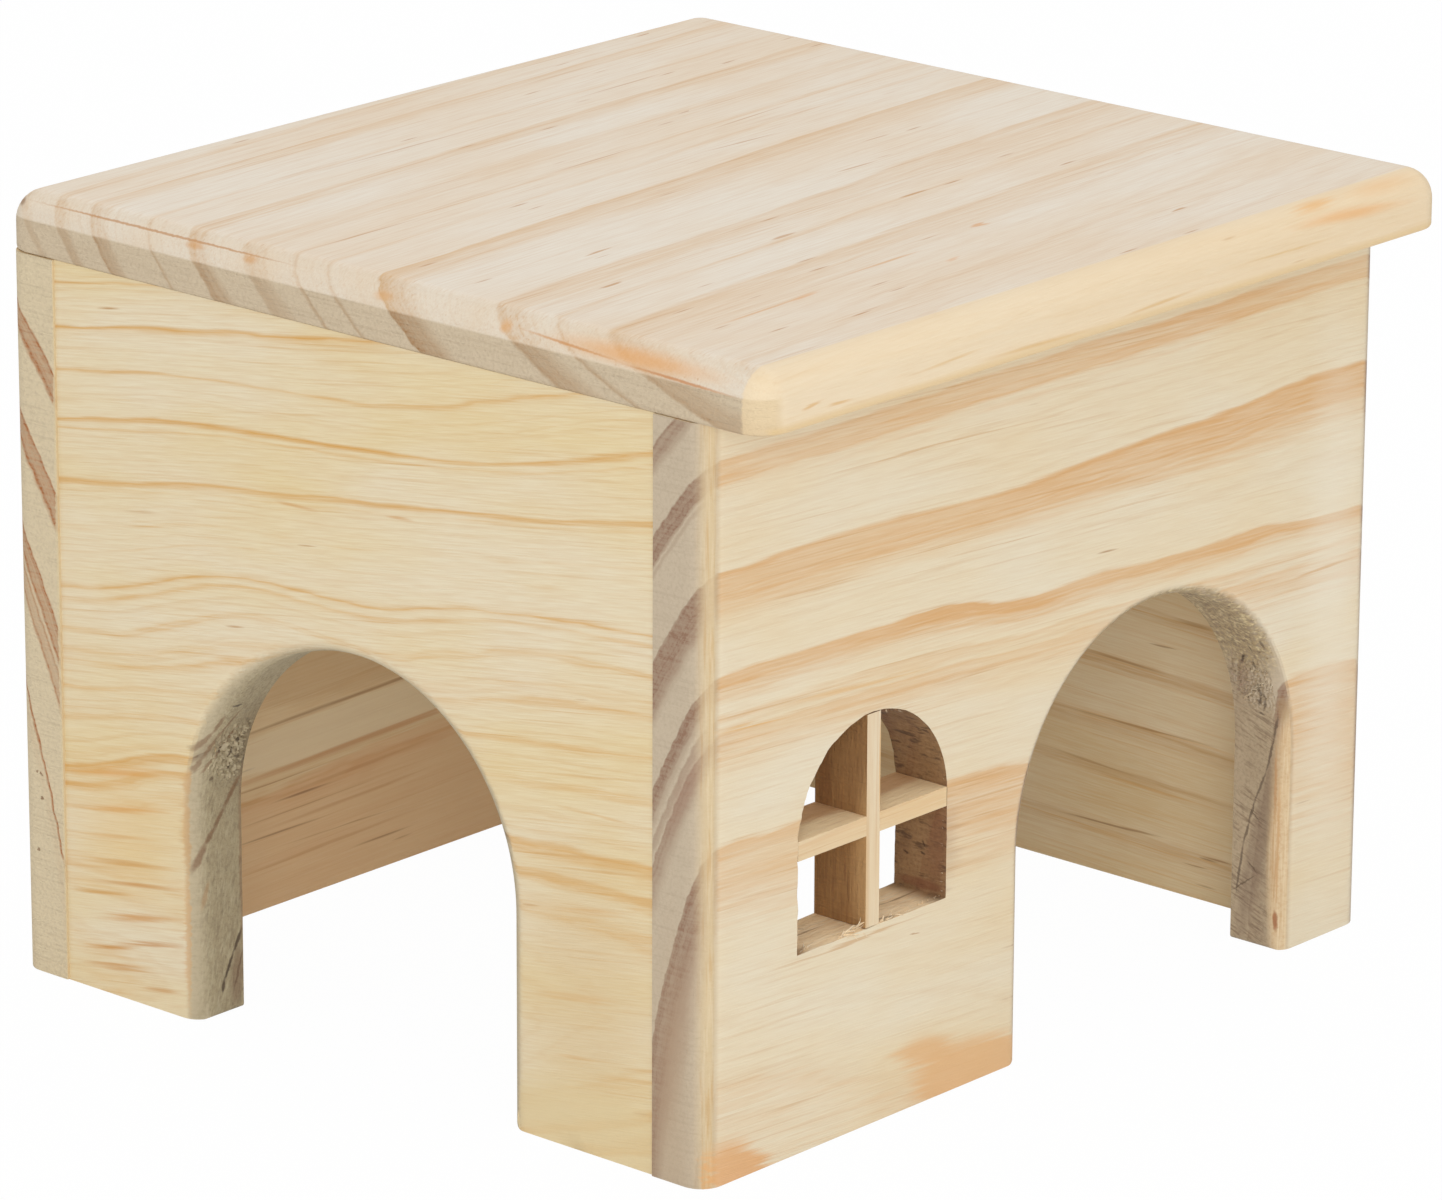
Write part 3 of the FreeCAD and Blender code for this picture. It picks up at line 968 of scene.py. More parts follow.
# Boards and bars. Places and lengths are in millimetres from the house's corner. A ring is (outer
# radius, how far inwards it fades, darkness), a swerve (middle, half sizes, how far it bends the
# rings outwards) and a line (points, half width, colour, strength).
FRONT_GRAIN = {
    "pith_start": (0, -127, -7), "pith_end": (148, -134, 1), "fibre_line": ((0, 0, 0), (148, 0, -8)),
    "rings": [(128.9, 2.0, 0.3), (139.0, 5.0, 0.85), (147.6, 1.2, 0.5), (150.4, 7.5, 0.95),
              (158.9, 5.0, 1.0), (165.9, 0.7, 0.35), (168.7, 4.0, 0.9), (176.5, 3.0, 0.7)],
    "ring_profile": ((0, 1), (0.1, 0.82), (0.55, 0.74), (1, 0)),
    "ring_range": (118, 186), "broad_waver": 0.4, "fine_waver": 0.45, "seed": 3.1,
    "swerves": [((112, 0, 69), (72, 40, 13), -1.5), ((68, 0, 70), (22, 40, 10), -0.7),
                ((146, 0, 68), (26, 40, 11), -1.2), ((65, 0, 87), (42, 40, 9), -0.9),
                ((142, 0, 92), (40, 40, 22), 0.9), ((140, 0, 40), (45, 40, 16), 1.0)],
    "pale": "#e6dac0", "blush": "#e5d3b0", "late": "#d9ab74", "streak": "#c8975c", "painted_sheen": "#efe6d2",
    "fibres": 0.13, "streaks": 0.55, "canals": 0.05, "canal": "#a9794a", "layering": 0.12,
    "end_pale": "#c1b097", "end_late": "#8c6a52", "pit": "#8a765e", "end_top": (FAR, 1),
    "end_rings": (0.05, 0.72), "stroke_lengths": (3, 14, 0.42), "outward": (0, 1, 0),
    "arch_middle": (front_doorway_middle, 0, doorway_leg_height),
    "zones": [
        dict(DOORWAY_EDGE, middle=(front_doorway_middle, 0, doorway_leg_height), half_sizes=(46, FAR, 46)),
        dict(DOORWAY_EDGE, middle=(front_doorway_middle, 0, 66), half_sizes=(46, FAR, 32),
             turned_off_face=(0.975, 0.72), softness=0.25, fray=0.6, fuzz=0.8, scratches=0.2,
             whiskers=0.8, pale="#b39d78", whisker="#e4d3a6", pit="#4f3a26", rings=0.2, blotches=0.6,
             whisker_lengths=(0.9, 0.9, 0.6), blotch_lengths=(0.9, 0.9, 0.5)),
        dict(DOORWAY_EDGE, middle=(130.4, 0.6, 16), half_sizes=(2.8, 3.4, 28),
             turned_off_face=(0.995, 0.9), softness=0.35, pale="#dcc39c", late="#cfa36c",
             pit="#bd8a54", whisker="#eddcba", rings=0.3, fuzz=0.3, scratches=0.4, blotches=0,
             scratch_line=(0, 0, 10), scratch_lengths=(9, 0.3, 0.3), whiskers=0.5,
             whisker_lengths=(6, 0.3, 0.3)),
        dict(DOORWAY_EDGE, middle=(2.4, 0.7, 55), half_sizes=(3.2, 2.6, FAR),
             turned_off_face=(0.995, 0.9), softness=0.8, pale="#d3bd96", late="#bf9d76",
             pit="#c59a5e", whisker="#e6d5b4", rings=0.35, fuzz=0.1, scratches=0.5, blotches=0,
             scratch_line=(0, 0, 10), scratch_lengths=(9, 0.4, 0.4), whiskers=0.4,
             whisker_lengths=(6, 0.4, 0.4)),
        dict(WINDOW_EDGE, middle=(window_middle, 0, window_spring_height), half_sizes=(23.5, FAR, 23.5)),
        # the sill: painted light, its colours raised near white above the wood's own to make up for the
        # light that the window's recess keeps off
        dict(WINDOW_EDGE, middle=(window_middle, 0, window_sill_height), half_sizes=(16.4, FAR, 1.5),
             softness=0.3, pale="#fee5bd", whisker="#f6e8cc", pit="#cfab7c", scratch_line=(10, 0, 0),
             scratch_lengths=(6, 0.5, 0.5), scratches=0.3, fuzz=0.05, blotches=0.25, whiskers=0.8,
             whisker_lengths=(7, 0.4, 0.4), rings=0.1, blotch_lengths=(5, 1.0, 1.2))],
    "ragged": (10, 0.8, 1.6),
    "marks": (
        marks_on(Y, 0, 3,
            (58, 1.5, 17, 6.2, 7, 0.4, "#dfac72", 0.74), (47, 7.6, 9, 3.2, 8, 0.7, "#dfac72", 0.7),
            (7.5, 0.8, 10, 5.4, 28, 0.5, "#dfa465", 0.75))
        + marks_on(X, 0, 14,
            (3.8, 57, 2.0, 11, 24, 0.8, "#9b7862", 0.5), (5.2, 20, 3.2, 24, 11, 0.8, "#a08066", 0.5),
            (6, 10, 5, 40, 0, 0.9, "#b49a7c", 0.35))
        + marks_on(Y, 0, FACE_DEPTH,
            (139, 52, 10, 60, 0, 0.9, "#efe7d4", 0.4), (50, 96.3, 40, 0.22, 2.2, 0.8, "#c9995f", 0.45),
            (63, 78.8, 14, 0.2, 3, 0.7, "#c9995f", 0.5), (30, 28.3, 24, 0.22, 1, 0.7, "#c4935a", 0.5),
            (9, 65.3, 9, 0.5, 5, 0.8, "#dca961", 0.65), (33, 65.3, 21, 0.45, 4, 0.8, "#dca961", 0.5),
            (137, 58, 10, 0.35, 0, 0.7, "#cf9a58", 0.5), (45.8, 25.8, 0.9, 0.4, 0, 0.5, "#b0804e", 0.6))
        + marks_on(X, front_doorway_right, 14,
            (4.9, 15, 2.4, 21, 11, 0.6, "#775f4e", 0.4), (5.6, 28, 3.4, 10, 0, 0.9, "#85735a", 0.15))
        + marks_on(X, 51.0, 5,
            (1.6, 38, 2.8, 12, 0, 0.8, "#7a4a32", 0.4), (8.2, 35, 1.4, 5, 30, 0.7, "#5a3a28", 0.25))
        + marks_on(Z, window_sill_height, 1.5,
            (46.5, 4.9, 9, 0.3, 0, 0.6, "#8a6744", 0.6), (27, 5.4, 6, 0.3, 0, 0.6, "#8f6a48", 0.6))
        + marks_on(Z, 29.3, 0.6, (39, 0.8, 2.2, 0.8, 0, 0.6, "#5d4430", 0.7))),
    "lines": [
        (((129, 1.5, 36.5), (129, 2.2, 33), (129, 3.5, 27.5), (129, 5.5, 22.5), (129, 6.5, 19),
          (129, 7.4, 15.5), (129, 8.5, 8)), 0.3, "#4f3c2c", 0.65),
        (((127.4, 4, 41.3), (128, 4, 39.4), (128.3, 4.6, 37.9)), 0.32, "#4a3826", 0.62),
        (((127.8, 3.6, 40.1), (128.1, 3.2, 39), (128.5, 3.9, 37.2)), 0.32, "#4a3826", 0.62),
        (((128.1, 4.9, 38.9), (128.3, 4.1, 38.2)), 0.28, "#4a3826", 0.62),
        (((128.6, 4.7, 36.7), (128.6, 3.8, 36.5)), 0.28, "#4a3826", 0.62),
        (((123.9, 3.6, 48.4), (124.5, 3.2, 47.4)), 0.3, "#4a3826", 0.62),
        (((125.7, 4, 45.4), (126.3, 3.7, 44.1)), 0.3, "#4a3826", 0.62),
        (((123.5, 1, 49.8), (124.4, 1.1, 48.3)), 0.25, "#5a432f", 0.7),
        (((125.1, 5.2, 46.4), (126, 6.3, 44.7)), 0.35, "#4c3a2a", 0.8),
        (((129, 6.2, 21.0), (129, 4.6, 19.6)), 0.16, "#54402f", 0.6),
        (((129, 6.6, 12.8), (129, 4.8, 11.4)), 0.16, "#54402f", 0.6),
        (((129, 9.2, 7.8), (129, 5.4, 10.6)), 0.18, "#54402f", 0.6),
        (((129.4, 1.4, 6.0), (129.4, 1.3, 3.2)), 0.5, "#9c5a2c", 0.8),
        (((129.2, 1.8, 31), (129.2, 1.7, 20)), 0.3, "#c08850", 0.5),
        (((129.4, 1.2, 25), (129.4, 1.3, 8)), 0.3, "#c9955c", 0.5),
        (((128.6, 0.7, 39.7), (129.3, 0.8, 35.9)), 0.9, "#ad8c5e", 0.4),
        (((51.1, 4.8, 35.1), (51.1, 3.9, 34.9)), 0.3, "#3f2919", 0.8),
        (((51.1, 7.9, 34.6), (51.1, 7.0, 34.4)), 0.24, "#3f2919", 0.8),
        (((51.1, 4.4, 36.9), (51.1, 4.0, 36.2)), 0.26, "#3f2919", 0.7),
        (((51.1, 0.8, 30.5), (51.1, 8.6, 30.5)), 1.0, "#7c4730", 0.5),
    ],
}
BACK_GRAIN = dict(
    FRONT_GRAIN, pith_start=(0, 261.7, -7), pith_end=(148, 261.7, -2), seed=11.7,
    fibre_line=((0, 0, 0), (148, 0, 3)), swerves=[],
    rings=[(137.9, 10.0, 0.3), (138.7, 0.5, 1.0), (141.8, 0.3, 0.4), (146.6, 2.2, 0.8), (149.5, 2.6, 1.0),
           (159.0, 3.2, 1.0), (168.9, 3.0, 1.0)],
    ring_profile=((0, 1), (0.14, 0.62), (0.62, 0.55), (0.82, 0.85), (1, 0.2)),
    end_rings=(0.2, 0.8), ragged=(6, 0.8, 0.6), lines=[],
    pale="#e4cda4", blush="#dfc69b", late="#c9945d", canals=0.2, canal="#8a6238", streak="#bd8b54",
    end_pale="#d8c7a6", end_late="#a4622c", zones=[],
    marks=(
        marks_on(Y, back_wall_front, 0.3,
            (79, 42, 66, 13, -1, 0.12, "#c9a87c", 0.45), (79, 8, 66, 13.5, -1, 0.06, "#dfb88c", 0.5),
            (64, 25.4, 51, 3.6, -1.5, 0.15, "#eadab8", 0.6),
            (64, 21.7, 51, 0.8, -1.5, 0.8, "#bf8452", 0.6),
            (64, 29.2, 51, 0.45, -1.5, 0.8, "#8f6238", 0.6),
            (60, 17.5, 24, 0.5, -1.5, 0.8, "#b9814e", 0.4),
            (60, 13, 24, 0.4, -1.5, 0.8, "#b9814e", 0.4), (55, 7, 24, 0.4, -1.5, 0.8, "#b9814e", 0.4))
        # painted shade, partly a glue line: a darker strip on the back wall's inner face in the step that
        # the left side wall's setback leaves at the joint
        + marks_on(Y, back_wall_front, 0.45, (0, 55, 9, 60, 0, 0.2, "#d9c7a0", 0.7))
        + marks_on(Y, back_wall_front, 0.3,
            (50, 16.5, 8, 0.3, 0, 0.8, "#8d5f38", 0.7), (67, 5, 8, 0.3, 0, 0.8, "#8d5f38", 0.6),
            (44, 11.5, 14, 0.22, 0, 0.8, "#8d5f38", 0.6), (40, 19.6, 18, 0.25, -1, 0.8, "#a06c40", 0.6),
            (50, 14.4, 20, 0.2, -1, 0.8, "#a06c40", 0.5), (58, 9, 16, 0.2, 1, 0.8, "#a06c40", 0.5),
            (30, 34, 16, 0.25, -1, 0.8, "#a06c40", 0.5))
        + marks_on(X, 0, FACE_DEPTH,
            (130, 31, 1.1, 0.35, 20, 0.5, "#7b5636", 0.8),
            (129.6, 27.2, 0.5, 0.45, 0, 0.5, "#7b5636", 0.8),
            (130.5, 19, 0.5, 0.45, 0, 0.5, "#7b5636", 0.7))))
LEFT_GRAIN = {
    "pith_start": (30, 125, 2.5), "pith_end": (38, 9.5, 24.5), "fibre_line": ((0, 125, 0), (0, 9.5, 18)),
    "rings": [(24.6, 0.9, 1.0), (30.5, 0.5, 0.45), (32.7, 0.5, 0.35), (34.2, 1.2, 0.4), (38.7, 0.7, 0.6),
              (40.6, 0.8, 0.95), (42.7, 1.6, 1.0), (44.2, 0.5, 0.5), (48.1, 0.9, 0.6), (49.4, 0.6, 0.4),
              (52.2, 0.9, 0.65), (55.5, 1.1, 0.7), (56.6, 0.6, 0.5), (59.4, 0.8, 0.5), (63.3, 0.8, 0.65),
              (64.9, 1.0, 0.75), (69.5, 0.5, 0.35), (72.6, 0.5, 0.3), (78.0, 0.7, 0.6), (79.1, 0.9, 0.95),
              (86.4, 0.7, 0.75), (87.6, 0.8, 1.0), (94.4, 0.8, 0.9), (100.3, 0.9, 0.85), (106.5, 0.8, 0.8)],
    "ring_profile": ((0, 1), (0.35, 0.9), (1, 0)),
    "ring_range": (5, 125), "broad_waver": 0.5, "fine_waver": 0.55, "seed": 5.3,
    "swerves": [((0, 88, 66), (FAR, 34, 19), 3.6), ((0, 101, 38), (FAR, 24, 16), 2.6),
                ((0, 50, 98), (FAR, 62, 15), -3.3), ((0, 32, 71), (FAR, 45, 13), 2.3)],
    "pale": "#e2d4b6", "blush": "#e0cc9e", "late": "#d2a055", "streak": "#c9964e", "painted_sheen": "#ece1c6",
    "fibres": 0.2, "streaks": 0.6, "canals": 0.09, "canal": "#b07c40", "layering": 0.2,
    "end_pale": "#bdae90", "end_late": "#6f5640", "pit": "#7d6a4e", "end_top": (FAR, 1),
    "end_rings": (0.7, 0.95), "stroke_lengths": (12, 3, 0.45), "outward": (1, 0, 0),
    "arch_middle": (0, side_doorway_middle, doorway_leg_height),
    "zones": [
        dict(SIDE_EDGE, middle=(0, side_doorway_middle, doorway_leg_height), half_sizes=(FAR, 46, 46),
             turned_off_face=(0.88, 0.3), pale="#ad9f80", late="#6b5240", pit="#5f4e3a",
             whisker="#c9bfa0", fuzz=0.25, blotches=0.2, scratch_lengths=(2.2, 0.5, 0.5),
             whiskers=0.5, whisker_lengths=(1.8, 0.35, 0.35)),
        dict(SIDE_EDGE, middle=(10.5, 96, 42), half_sizes=(8, 9, 16), turned_off_face=(0.5, 0.2),
             softness=0.9, pale="#948468", late="#5b4534", pit="#4b3b2a", whisker="#a89b7e",
             fuzz=0.3, blotches=0.6)],
    "ragged": (0.8, 8, 1.0),
    "marks": (
        marks_on(X, 0, 5,
            (113, 26, 16, 16, 0, 0.9, "#e0bc7e", 0.35), (22, 22, 18, 34, 0, 0.9, "#cfb282", 0.4))
        + marks_on(X, 0, FACE_DEPTH,
            (114, 34.6, 14, 1.3, -13, 0.8, "#d79b4c", 0.8),
            (112, 29.4, 13, 0.9, -10, 0.8, "#d79b4c", 0.7),
            (114, 24.8, 11, 0.7, -9, 0.8, "#d2a05c", 0.6),
            (113, 21.0, 13, 0.5, -9, 0.8, "#c8903f", 0.75),
            (110, 18.2, 13, 0.6, -9, 0.8, "#c48a42", 0.85),
            (118, 15.2, 9, 0.5, -9, 0.8, "#c9923f", 0.75),
            (110, 13.2, 14, 0.75, -11, 0.8, "#c98c3e", 0.9),
            (108, 9.6, 11, 0.55, -11, 0.8, "#bf8240", 0.85),
            (116, 7.4, 9, 0.5, -11, 0.8, "#c68c40", 0.85), (114, 4.6, 11, 0.6, -9, 0.8, "#c48c48", 0.8),
            (106, 3.0, 6, 0.5, -9, 0.8, "#c48c48", 0.75), (21, 3.5, 30, 9, 0, 0.4, "#dcc89c", 0.75),
            (108, 75.3, 5, 0.35, -9, 0.7, "#b98a50", 0.5), (77, 82.6, 5, 0.4, -2, 0.7, "#c99252", 0.6),
            (56, 84.9, 4, 0.35, -4, 0.7, "#c99252", 0.6), (20, 50, 10, 0.4, -2, 0.8, "#cf9b54", 0.5),
            (20, 36, 11, 0.7, -10, 0.9, "#cf9b54", 0.55), (24, 22.5, 13, 0.8, -9, 0.8, "#d0a05c", 0.5),
            (24, 13.5, 6, 0.5, -6, 0.8, "#cf9b54", 0.4))),
    "lines": [
        (((0.8, 97.6, 40.2), (4.4, 95.2, 44.4)), 1.8, "#8d7c62", 0.4),
        (((0.9, 99.5, 22.9), (2.4, 98.2, 26.9), (4, 98, 29), (6, 98, 31.6), (9, 97.7, 35.7)),
         0.62, "#7a5638", 0.7),
        (((0.5, 98.8, 41.6), (1.8, 95.7, 44.5), (2.5, 93.9, 47.1)), 0.36, "#7a583a", 0.62),
        (((2.9, 92.6, 48.9), (4.7, 92.7, 48.7)), 0.3, "#3f3022", 0.8),
        (((0.7, 99.1, 38.2), (1.5, 97.5, 40.4), (2.6, 95.6, 43.7), (5.1, 93.4, 47.5)),
         0.36, "#7a583a", 0.62),
        (((1.6, 98.1, 38), (2.9, 96.8, 40.2), (4.9, 95.9, 42.6), (5.9, 94.9, 44.9)),
         0.3, "#7a583a", 0.62),
        (((3.5, 96.5, 41), (4.1, 96.2, 41.6)), 0.4, "#4a3828", 0.75),
        (((5.5, 97, 39.3), (6.4, 96.5, 41)), 0.4, "#4a3828", 0.75),
        (((6.9, 96.2, 41.8), (7.3, 96, 42.6)), 0.4, "#4a3828", 0.75),
        (((7.3, 97, 39.3), (8.4, 97.1, 38.9)), 0.4, "#4a3828", 0.75),
        (((2.9, 97.7, 36.6), (3.4, 97.6, 37.1)), 0.35, "#5a4432", 0.7),
        (((6.1, 97.4, 37.6), (6.6, 97.3, 38.1)), 0.35, "#4a3828", 0.7),
        (((5.2, 98, 3.4), (5.6, 98, 5.2), (7.5, 98, 9), (9.3, 98, 12.2)), 0.42, "#463424", 0.85),
        (((7.4, 98, 3), (9.3, 98, 8.6)), 0.32, "#5a4432", 0.7),
        (((7.8, 98, 1), (8.6, 98, 9)), 1.7, "#80644c", 0.55),
        (((9.3, 98, 12), (9.3, 98, 35)), 0.5, "#8f6b4a", 0.5),
        (((0.6, 99.5, 38.2), (0.6, 99.9, 34.3), (0.6, 99.9, 23.3)), 0.3, "#c59358", 0.5),
        (((0.6, 99.9, 22), (0.6, 99.9, 3)), 0.22, "#cf9c62", 0.45),
        (((1.8, 98.4, 17), (2.8, 98.2, 21)), 0.5, "#a87e50", 0.4),
    ],
}
RIGHT_GRAIN = dict(
    LEFT_GRAIN, pith_start=(115, 125, -8), pith_end=(115, 9.5, -12), seed=8.9,
    fibre_line=((0, 125, 0), (0, 9.5, -3)), swerves=[],
    rings=[(30.5, 2.4, 0.5), (37.1, 2.2, 0.5), (43.1, 2.6, 0.55), (51.7, 2.8, 0.65), (59.8, 2.0, 0.55),
           (68, 1.1, 0.7), (77, 1.1, 0.7), (86, 1.2, 0.8), (95, 1.2, 0.7), (105, 1.2, 0.7),
           (114, 1.2, 0.7)],
    pale="#ddccaa", blush="#d6c096", late="#b88f5a", canals=0.14, canal="#8f6a3c", zones=[], lines=[],
    marks=marks_on(X, right_wall_inside, 3,
        (36, 24.8, 18, 0.3, 0, 0.8, "#96703f", 0.6), (40, 8.0, 12, 0.28, -2, 0.8, "#8d6539", 0.7),
        (20, 7.2, 4, 0.25, 0, 0.8, "#8d6539", 0.6), (38, 34.6, 9, 0.4, 2, 0.8, "#96703f", 0.5),
        (24, 43.2, 6, 0.5, 0, 0.8, "#a0763f", 0.5), (31, 38.6, 3, 0.25, 0, 0.8, "#8d6539", 0.6),
        (45, 17.2, 12, 0.35, 3, 0.8, "#a47c48", 0.5), (23, 5.2, 3, 0.22, 0, 0.8, "#8d6539", 0.6)))
ROOF_GRAIN = {
    "pith_start": (0, -31, 219), "pith_end": (140, -27, 214.5), "fibre_line": ((0, 0, 0), (148, 6, 0)),
    "rings": [(104.5, 3.0, 0.3), (112.9, 5.0, 0.7), (117.5, 0.9, 0.5), (123.5, 5.0, 0.8), (137.5, 5.5, 0.95),
              (144.4, 0.7, 0.75), (149.1, 0.6, 0.95), (156.4, 4.5, 0.6), (164.9, 4.0, 0.85),
              (171.3, 0.7, 0.85), (180.6, 3.5, 0.75), (186.5, 2.5, 0.7), (192.5, 2.0, 0.5)],
    "ring_profile": ((0, 1), (0.12, 0.7), (0.45, 0.6), (1, 0)),
    "ring_range": (98, 202), "broad_waver": 0.6, "fine_waver": 0.5, "seed": 14.2,
    "swerves": [((120, 60, 118), (75, 32, FAR), 1.4)],
    "pale": "#e8dece", "blush": "#e6d5be", "late": "#dab68a", "streak": "#cda273", "painted_sheen": "#f1e9db",
    "fibres": 0.2, "streaks": 0.6, "canals": 0.3, "canal": "#b8804a", "layering": 0.15,
    "end_pale": "#cdbb9f", "end_late": "#a27a4f", "pit": "#8d7150", "end_top": (114.6, 0.3),
    "end_rings": (0.1, 0.85), "stroke_lengths": (3, 14, 0.4), "outward": (0, 0, 1), "zones": [],
    "ragged": (9, 0.8, 0.25), "lines": [],
    "marks": (
        marks_on(Y, -12.4, 6.4, (75, 114, FAR, FAR, 0, 0.08, "#ecd3a8", 0.62))
        + marks_on(Y, -9.8, 3, (128, 115.4, 17, 1.3, 3, 0.9, "#e7a962", 0.6))
        + marks_on(Y, -8.0, 1.6, (121, 117.4, 7, 1.5, 0, 0.9, "#e9ae62", 0.6))
        + marks_on(Y, roof_front, FACE_DEPTH,
            (10, 112.4, 3.2, 0.4, -6, 0.8, "#d9a860", 0.6),
            (16, 111.6, 4, 0.35, 2, 0.8, "#d9a860", 0.6), (38, 112.6, 9, 0.3, -3, 0.9, "#dcb374", 0.5),
            (57, 110.9, 16, 0.5, 1, 0.9, "#d8ac68", 0.6), (84, 111.3, 12, 0.4, -2, 0.9, "#d8ac68", 0.6))
        + marks_on(Y, roof_front, 1.5, (75, 110, FAR, 1.2, 0, 0.9, "#dfbf88", 0.6))
        + marks_on(Y, roof_front, FACE_DEPTH, (112, 113, 14, 0.3, 1, 0.9, "#dcb678", 0.5))
        + marks_on(X, 0, 30,
            (13, 116.3, 20, 1.8, 0, 0.9, "#df9f58", 0.65), (5, 114.9, 13, 0.3, 2, 0.8, "#c07c3e", 0.75),
            (25, 115.9, 12, 0.25, 3, 0.8, "#c8894a", 0.7),
            (104, 117.1, 30, 0.17, 0, 0.5, "#b9824c", 0.7),
            (132.5, 116.6, 1.4, 0.7, 0, 0.7, "#8f6640", 0.7),
            (97, 116.6, 2.6, 0.7, 0, 0.8, "#d09a60", 0.6),
            (86, 116.6, 2.0, 0.8, 0, 0.8, "#d09a60", 0.6),
            (60, 116.2, 2.4, 1.0, 0, 0.8, "#d9a468", 0.5),
            (37, 116.2, 1.6, 1.2, 0, 0.8, "#d9a060", 0.6))
        + marks_on(Z, roof_top, FACE_DEPTH,
            (54, 15.5, 10, 0.5, 2, 0.7, "#d9a56c", 0.6), (25, 11.8, 13, 0.5, 4, 0.7, "#d9a56c", 0.6),
            (79.5, 18.7, 2.2, 0.9, 8, 0.6, "#dba26a", 0.7), (31, 48.6, 3, 0.35, 2, 0.5, "#c08a50", 0.7),
            (21, 35.5, 2.6, 0.35, 3, 0.5, "#c08a50", 0.7), (55, 35, 3.2, 0.35, 4, 0.5, "#c08a50", 0.6),
            (86, 36.6, 4, 0.3, 2, 0.5, "#c08a50", 0.7), (106, 3.2, 2.2, 0.35, 4, 0.5, "#c08a50", 0.7),
            (18, 79.4, 14, 0.3, 1, 0.8, "#bf8850", 0.6), (70, 83.4, 14, 0.28, 3, 0.8, "#bf8850", 0.6),
            (104, 83.6, 12, 0.28, 5, 0.8, "#bf8850", 0.6),
            (56, 108.6, 22, 0.25, 1, 0.8, "#bf8d5c", 0.5),
            (105, 110.6, 12, 0.25, 3, 0.8, "#bf8d5c", 0.5), (92, 74.4, 9, 0.3, -2, 0.7, "#bf8850", 0.6),
            (107, 61.6, 4, 0.3, 0, 0.6, "#bf8850", 0.6), (92, 52.8, 5, 0.3, 0, 0.6, "#bf8850", 0.6),
            (33, 12.2, 4, 0.8, 6, 0.8, "#dfa468", 0.5), (62, 9.6, 3, 0.5, 12, 0.8, "#dfa468", 0.5))
        + marks_on(Z, roof_top, 3, (137, -8.5, 12, 2.5, 0, 0.9, "#ebb678", 0.4))),
}
BAR_EDGE = dict(
    WINDOW_EDGE, middle=(window_middle, 0, window_spring_height), half_sizes=(FAR, FAR, FAR),
    rings=0.3, scratches=0.5, scratch_line=(0, 0, 10), scratch_lengths=(9, 0.5, 0.5), blotches=0,
    whisker_lengths=(10, 0.6, 0.6), pale="#9b7346", late="#8b5d34", pit="#7b5535", whisker="#b3844f")
LEVEL_BAR_GRAIN = dict(
    FRONT_GRAIN, pith_start=(0, -60, 10), pith_end=(148, -60, 14), seed=17.5, swerves=[],
    fibre_line=((0, 0, 0), (148, 0, 0)),
    rings=[(64, 2.0, 0.5), (70, 2.5, 0.6), (77, 2.0, 0.5), (84, 2.0, 0.5)], ring_range=(55, 95),
    pale="#e6d3b0", blush="#e6c898", late="#d9ad78", lines=[],
    marks=marks_on(Z, 46, 1.5, (35, 7.6, 30, 4.0, 0, 0.35, "#c58f5c", 0.62)),
    # painted light: the bar's top, underside and ends are coloured near white, above the wood's own, to make
    # up for the light that the window's recess keeps off
    zones=[dict(BAR_EDGE, scratch_line=(10, 0, 0), pale="#fee3b5", pit="#cb9e6a", whisker="#feebc6",
                scratches=0.3, rings=0.05, fuzz=0.1)])
UPRIGHT_BAR_GRAIN = dict(
    LEVEL_BAR_GRAIN, pith_start=(20, -60, 0), pith_end=(20.5, -60, 100), seed=19.5, pale="#e4d6bc",
    fibre_line=((0, 0, 0), (0, 0, 148)), ragged=(0.3, 0.3, 6), zones=[BAR_EDGE],
    marks=(
        marks_on(Y, 0, 0.6, (36.6, 53, 0.4, 9.5, 0, 0.5, "#dcae6c", 0.7))
        + marks_on(X, 33.7, 1.2,
            (0.3, 37, 3.4, 20, 0, 0.8, "#d0a873", 0.5), (7.5, 50, 1.6, 7, 0, 0.8, "#80502b", 0.4),
            (3.8, 37, 0.3, 3, 0, 0.8, "#7c5232", 0.4))))
BEECH_GRAIN = dict(
    LEVEL_BAR_GRAIN, pith_start=(0, -300, 0), pith_end=(148, -300, 0), ring_range=(290, 450),
    rings=[(320, 3, 0.3), (420, 3, 0.3)], marks=[], zones=[], pale="#d8b48c", blush="#d2ab80",
    late="#c79c70", end_pale="#b08a66", end_late="#946f4e")


def settle(piece, material, slot, *nodes):
    """Bring a piece into the frame, give it its finish and let it stand for its CAD nodes."""
    pick(piece)
    bpy.ops.object.shade_smooth_by_angle(angle=SMOOTH_ANGLE)
    shading = piece.modifiers.new("shading", "WEIGHTED_NORMAL")
    shading.keep_sharp = True
    finish_modifier(piece, shading)
    for vertex in piece.data.vertices:
        vertex.co.z = max(0, vertex.co.z)
    piece.scale = (MM, MM, MM)
    piece.location = HOUSE_CORNER
    keep_place(piece)
    piece.data.materials.clear()
    piece.data.materials.append(material)
    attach(piece, "root")
    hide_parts(*nodes)


settle(front_wall(), pine("front_wall_pine_board", FRONT_GRAIN), "front_wall_pine", "front_wall")
settle(back_wall(), pine("back_wall_pine_board", BACK_GRAIN), "back_wall_pine", "back_wall")
settle(left_side_wall(), pine("left_side_pine_board", LEFT_GRAIN), "side_wall_pine", "left_side_wall")
settle(right_side_wall(), pine("right_side_pine_board", RIGHT_GRAIN),
       "side_wall_pine", "right_side_wall")
settle(roof(), pine("roof_pine_board", ROOF_GRAIN), "roof_pine", "roof_board")
settle(bar(True), pine("upright_bar_pine_strip", UPRIGHT_BAR_GRAIN), "bar_pine", "upright_window_bar")
settle(bar(False), pine("level_bar_pine_strip", LEVEL_BAR_GRAIN), "bar_pine", "level_window_bar")


# ---------------------------------------------------------------- studio

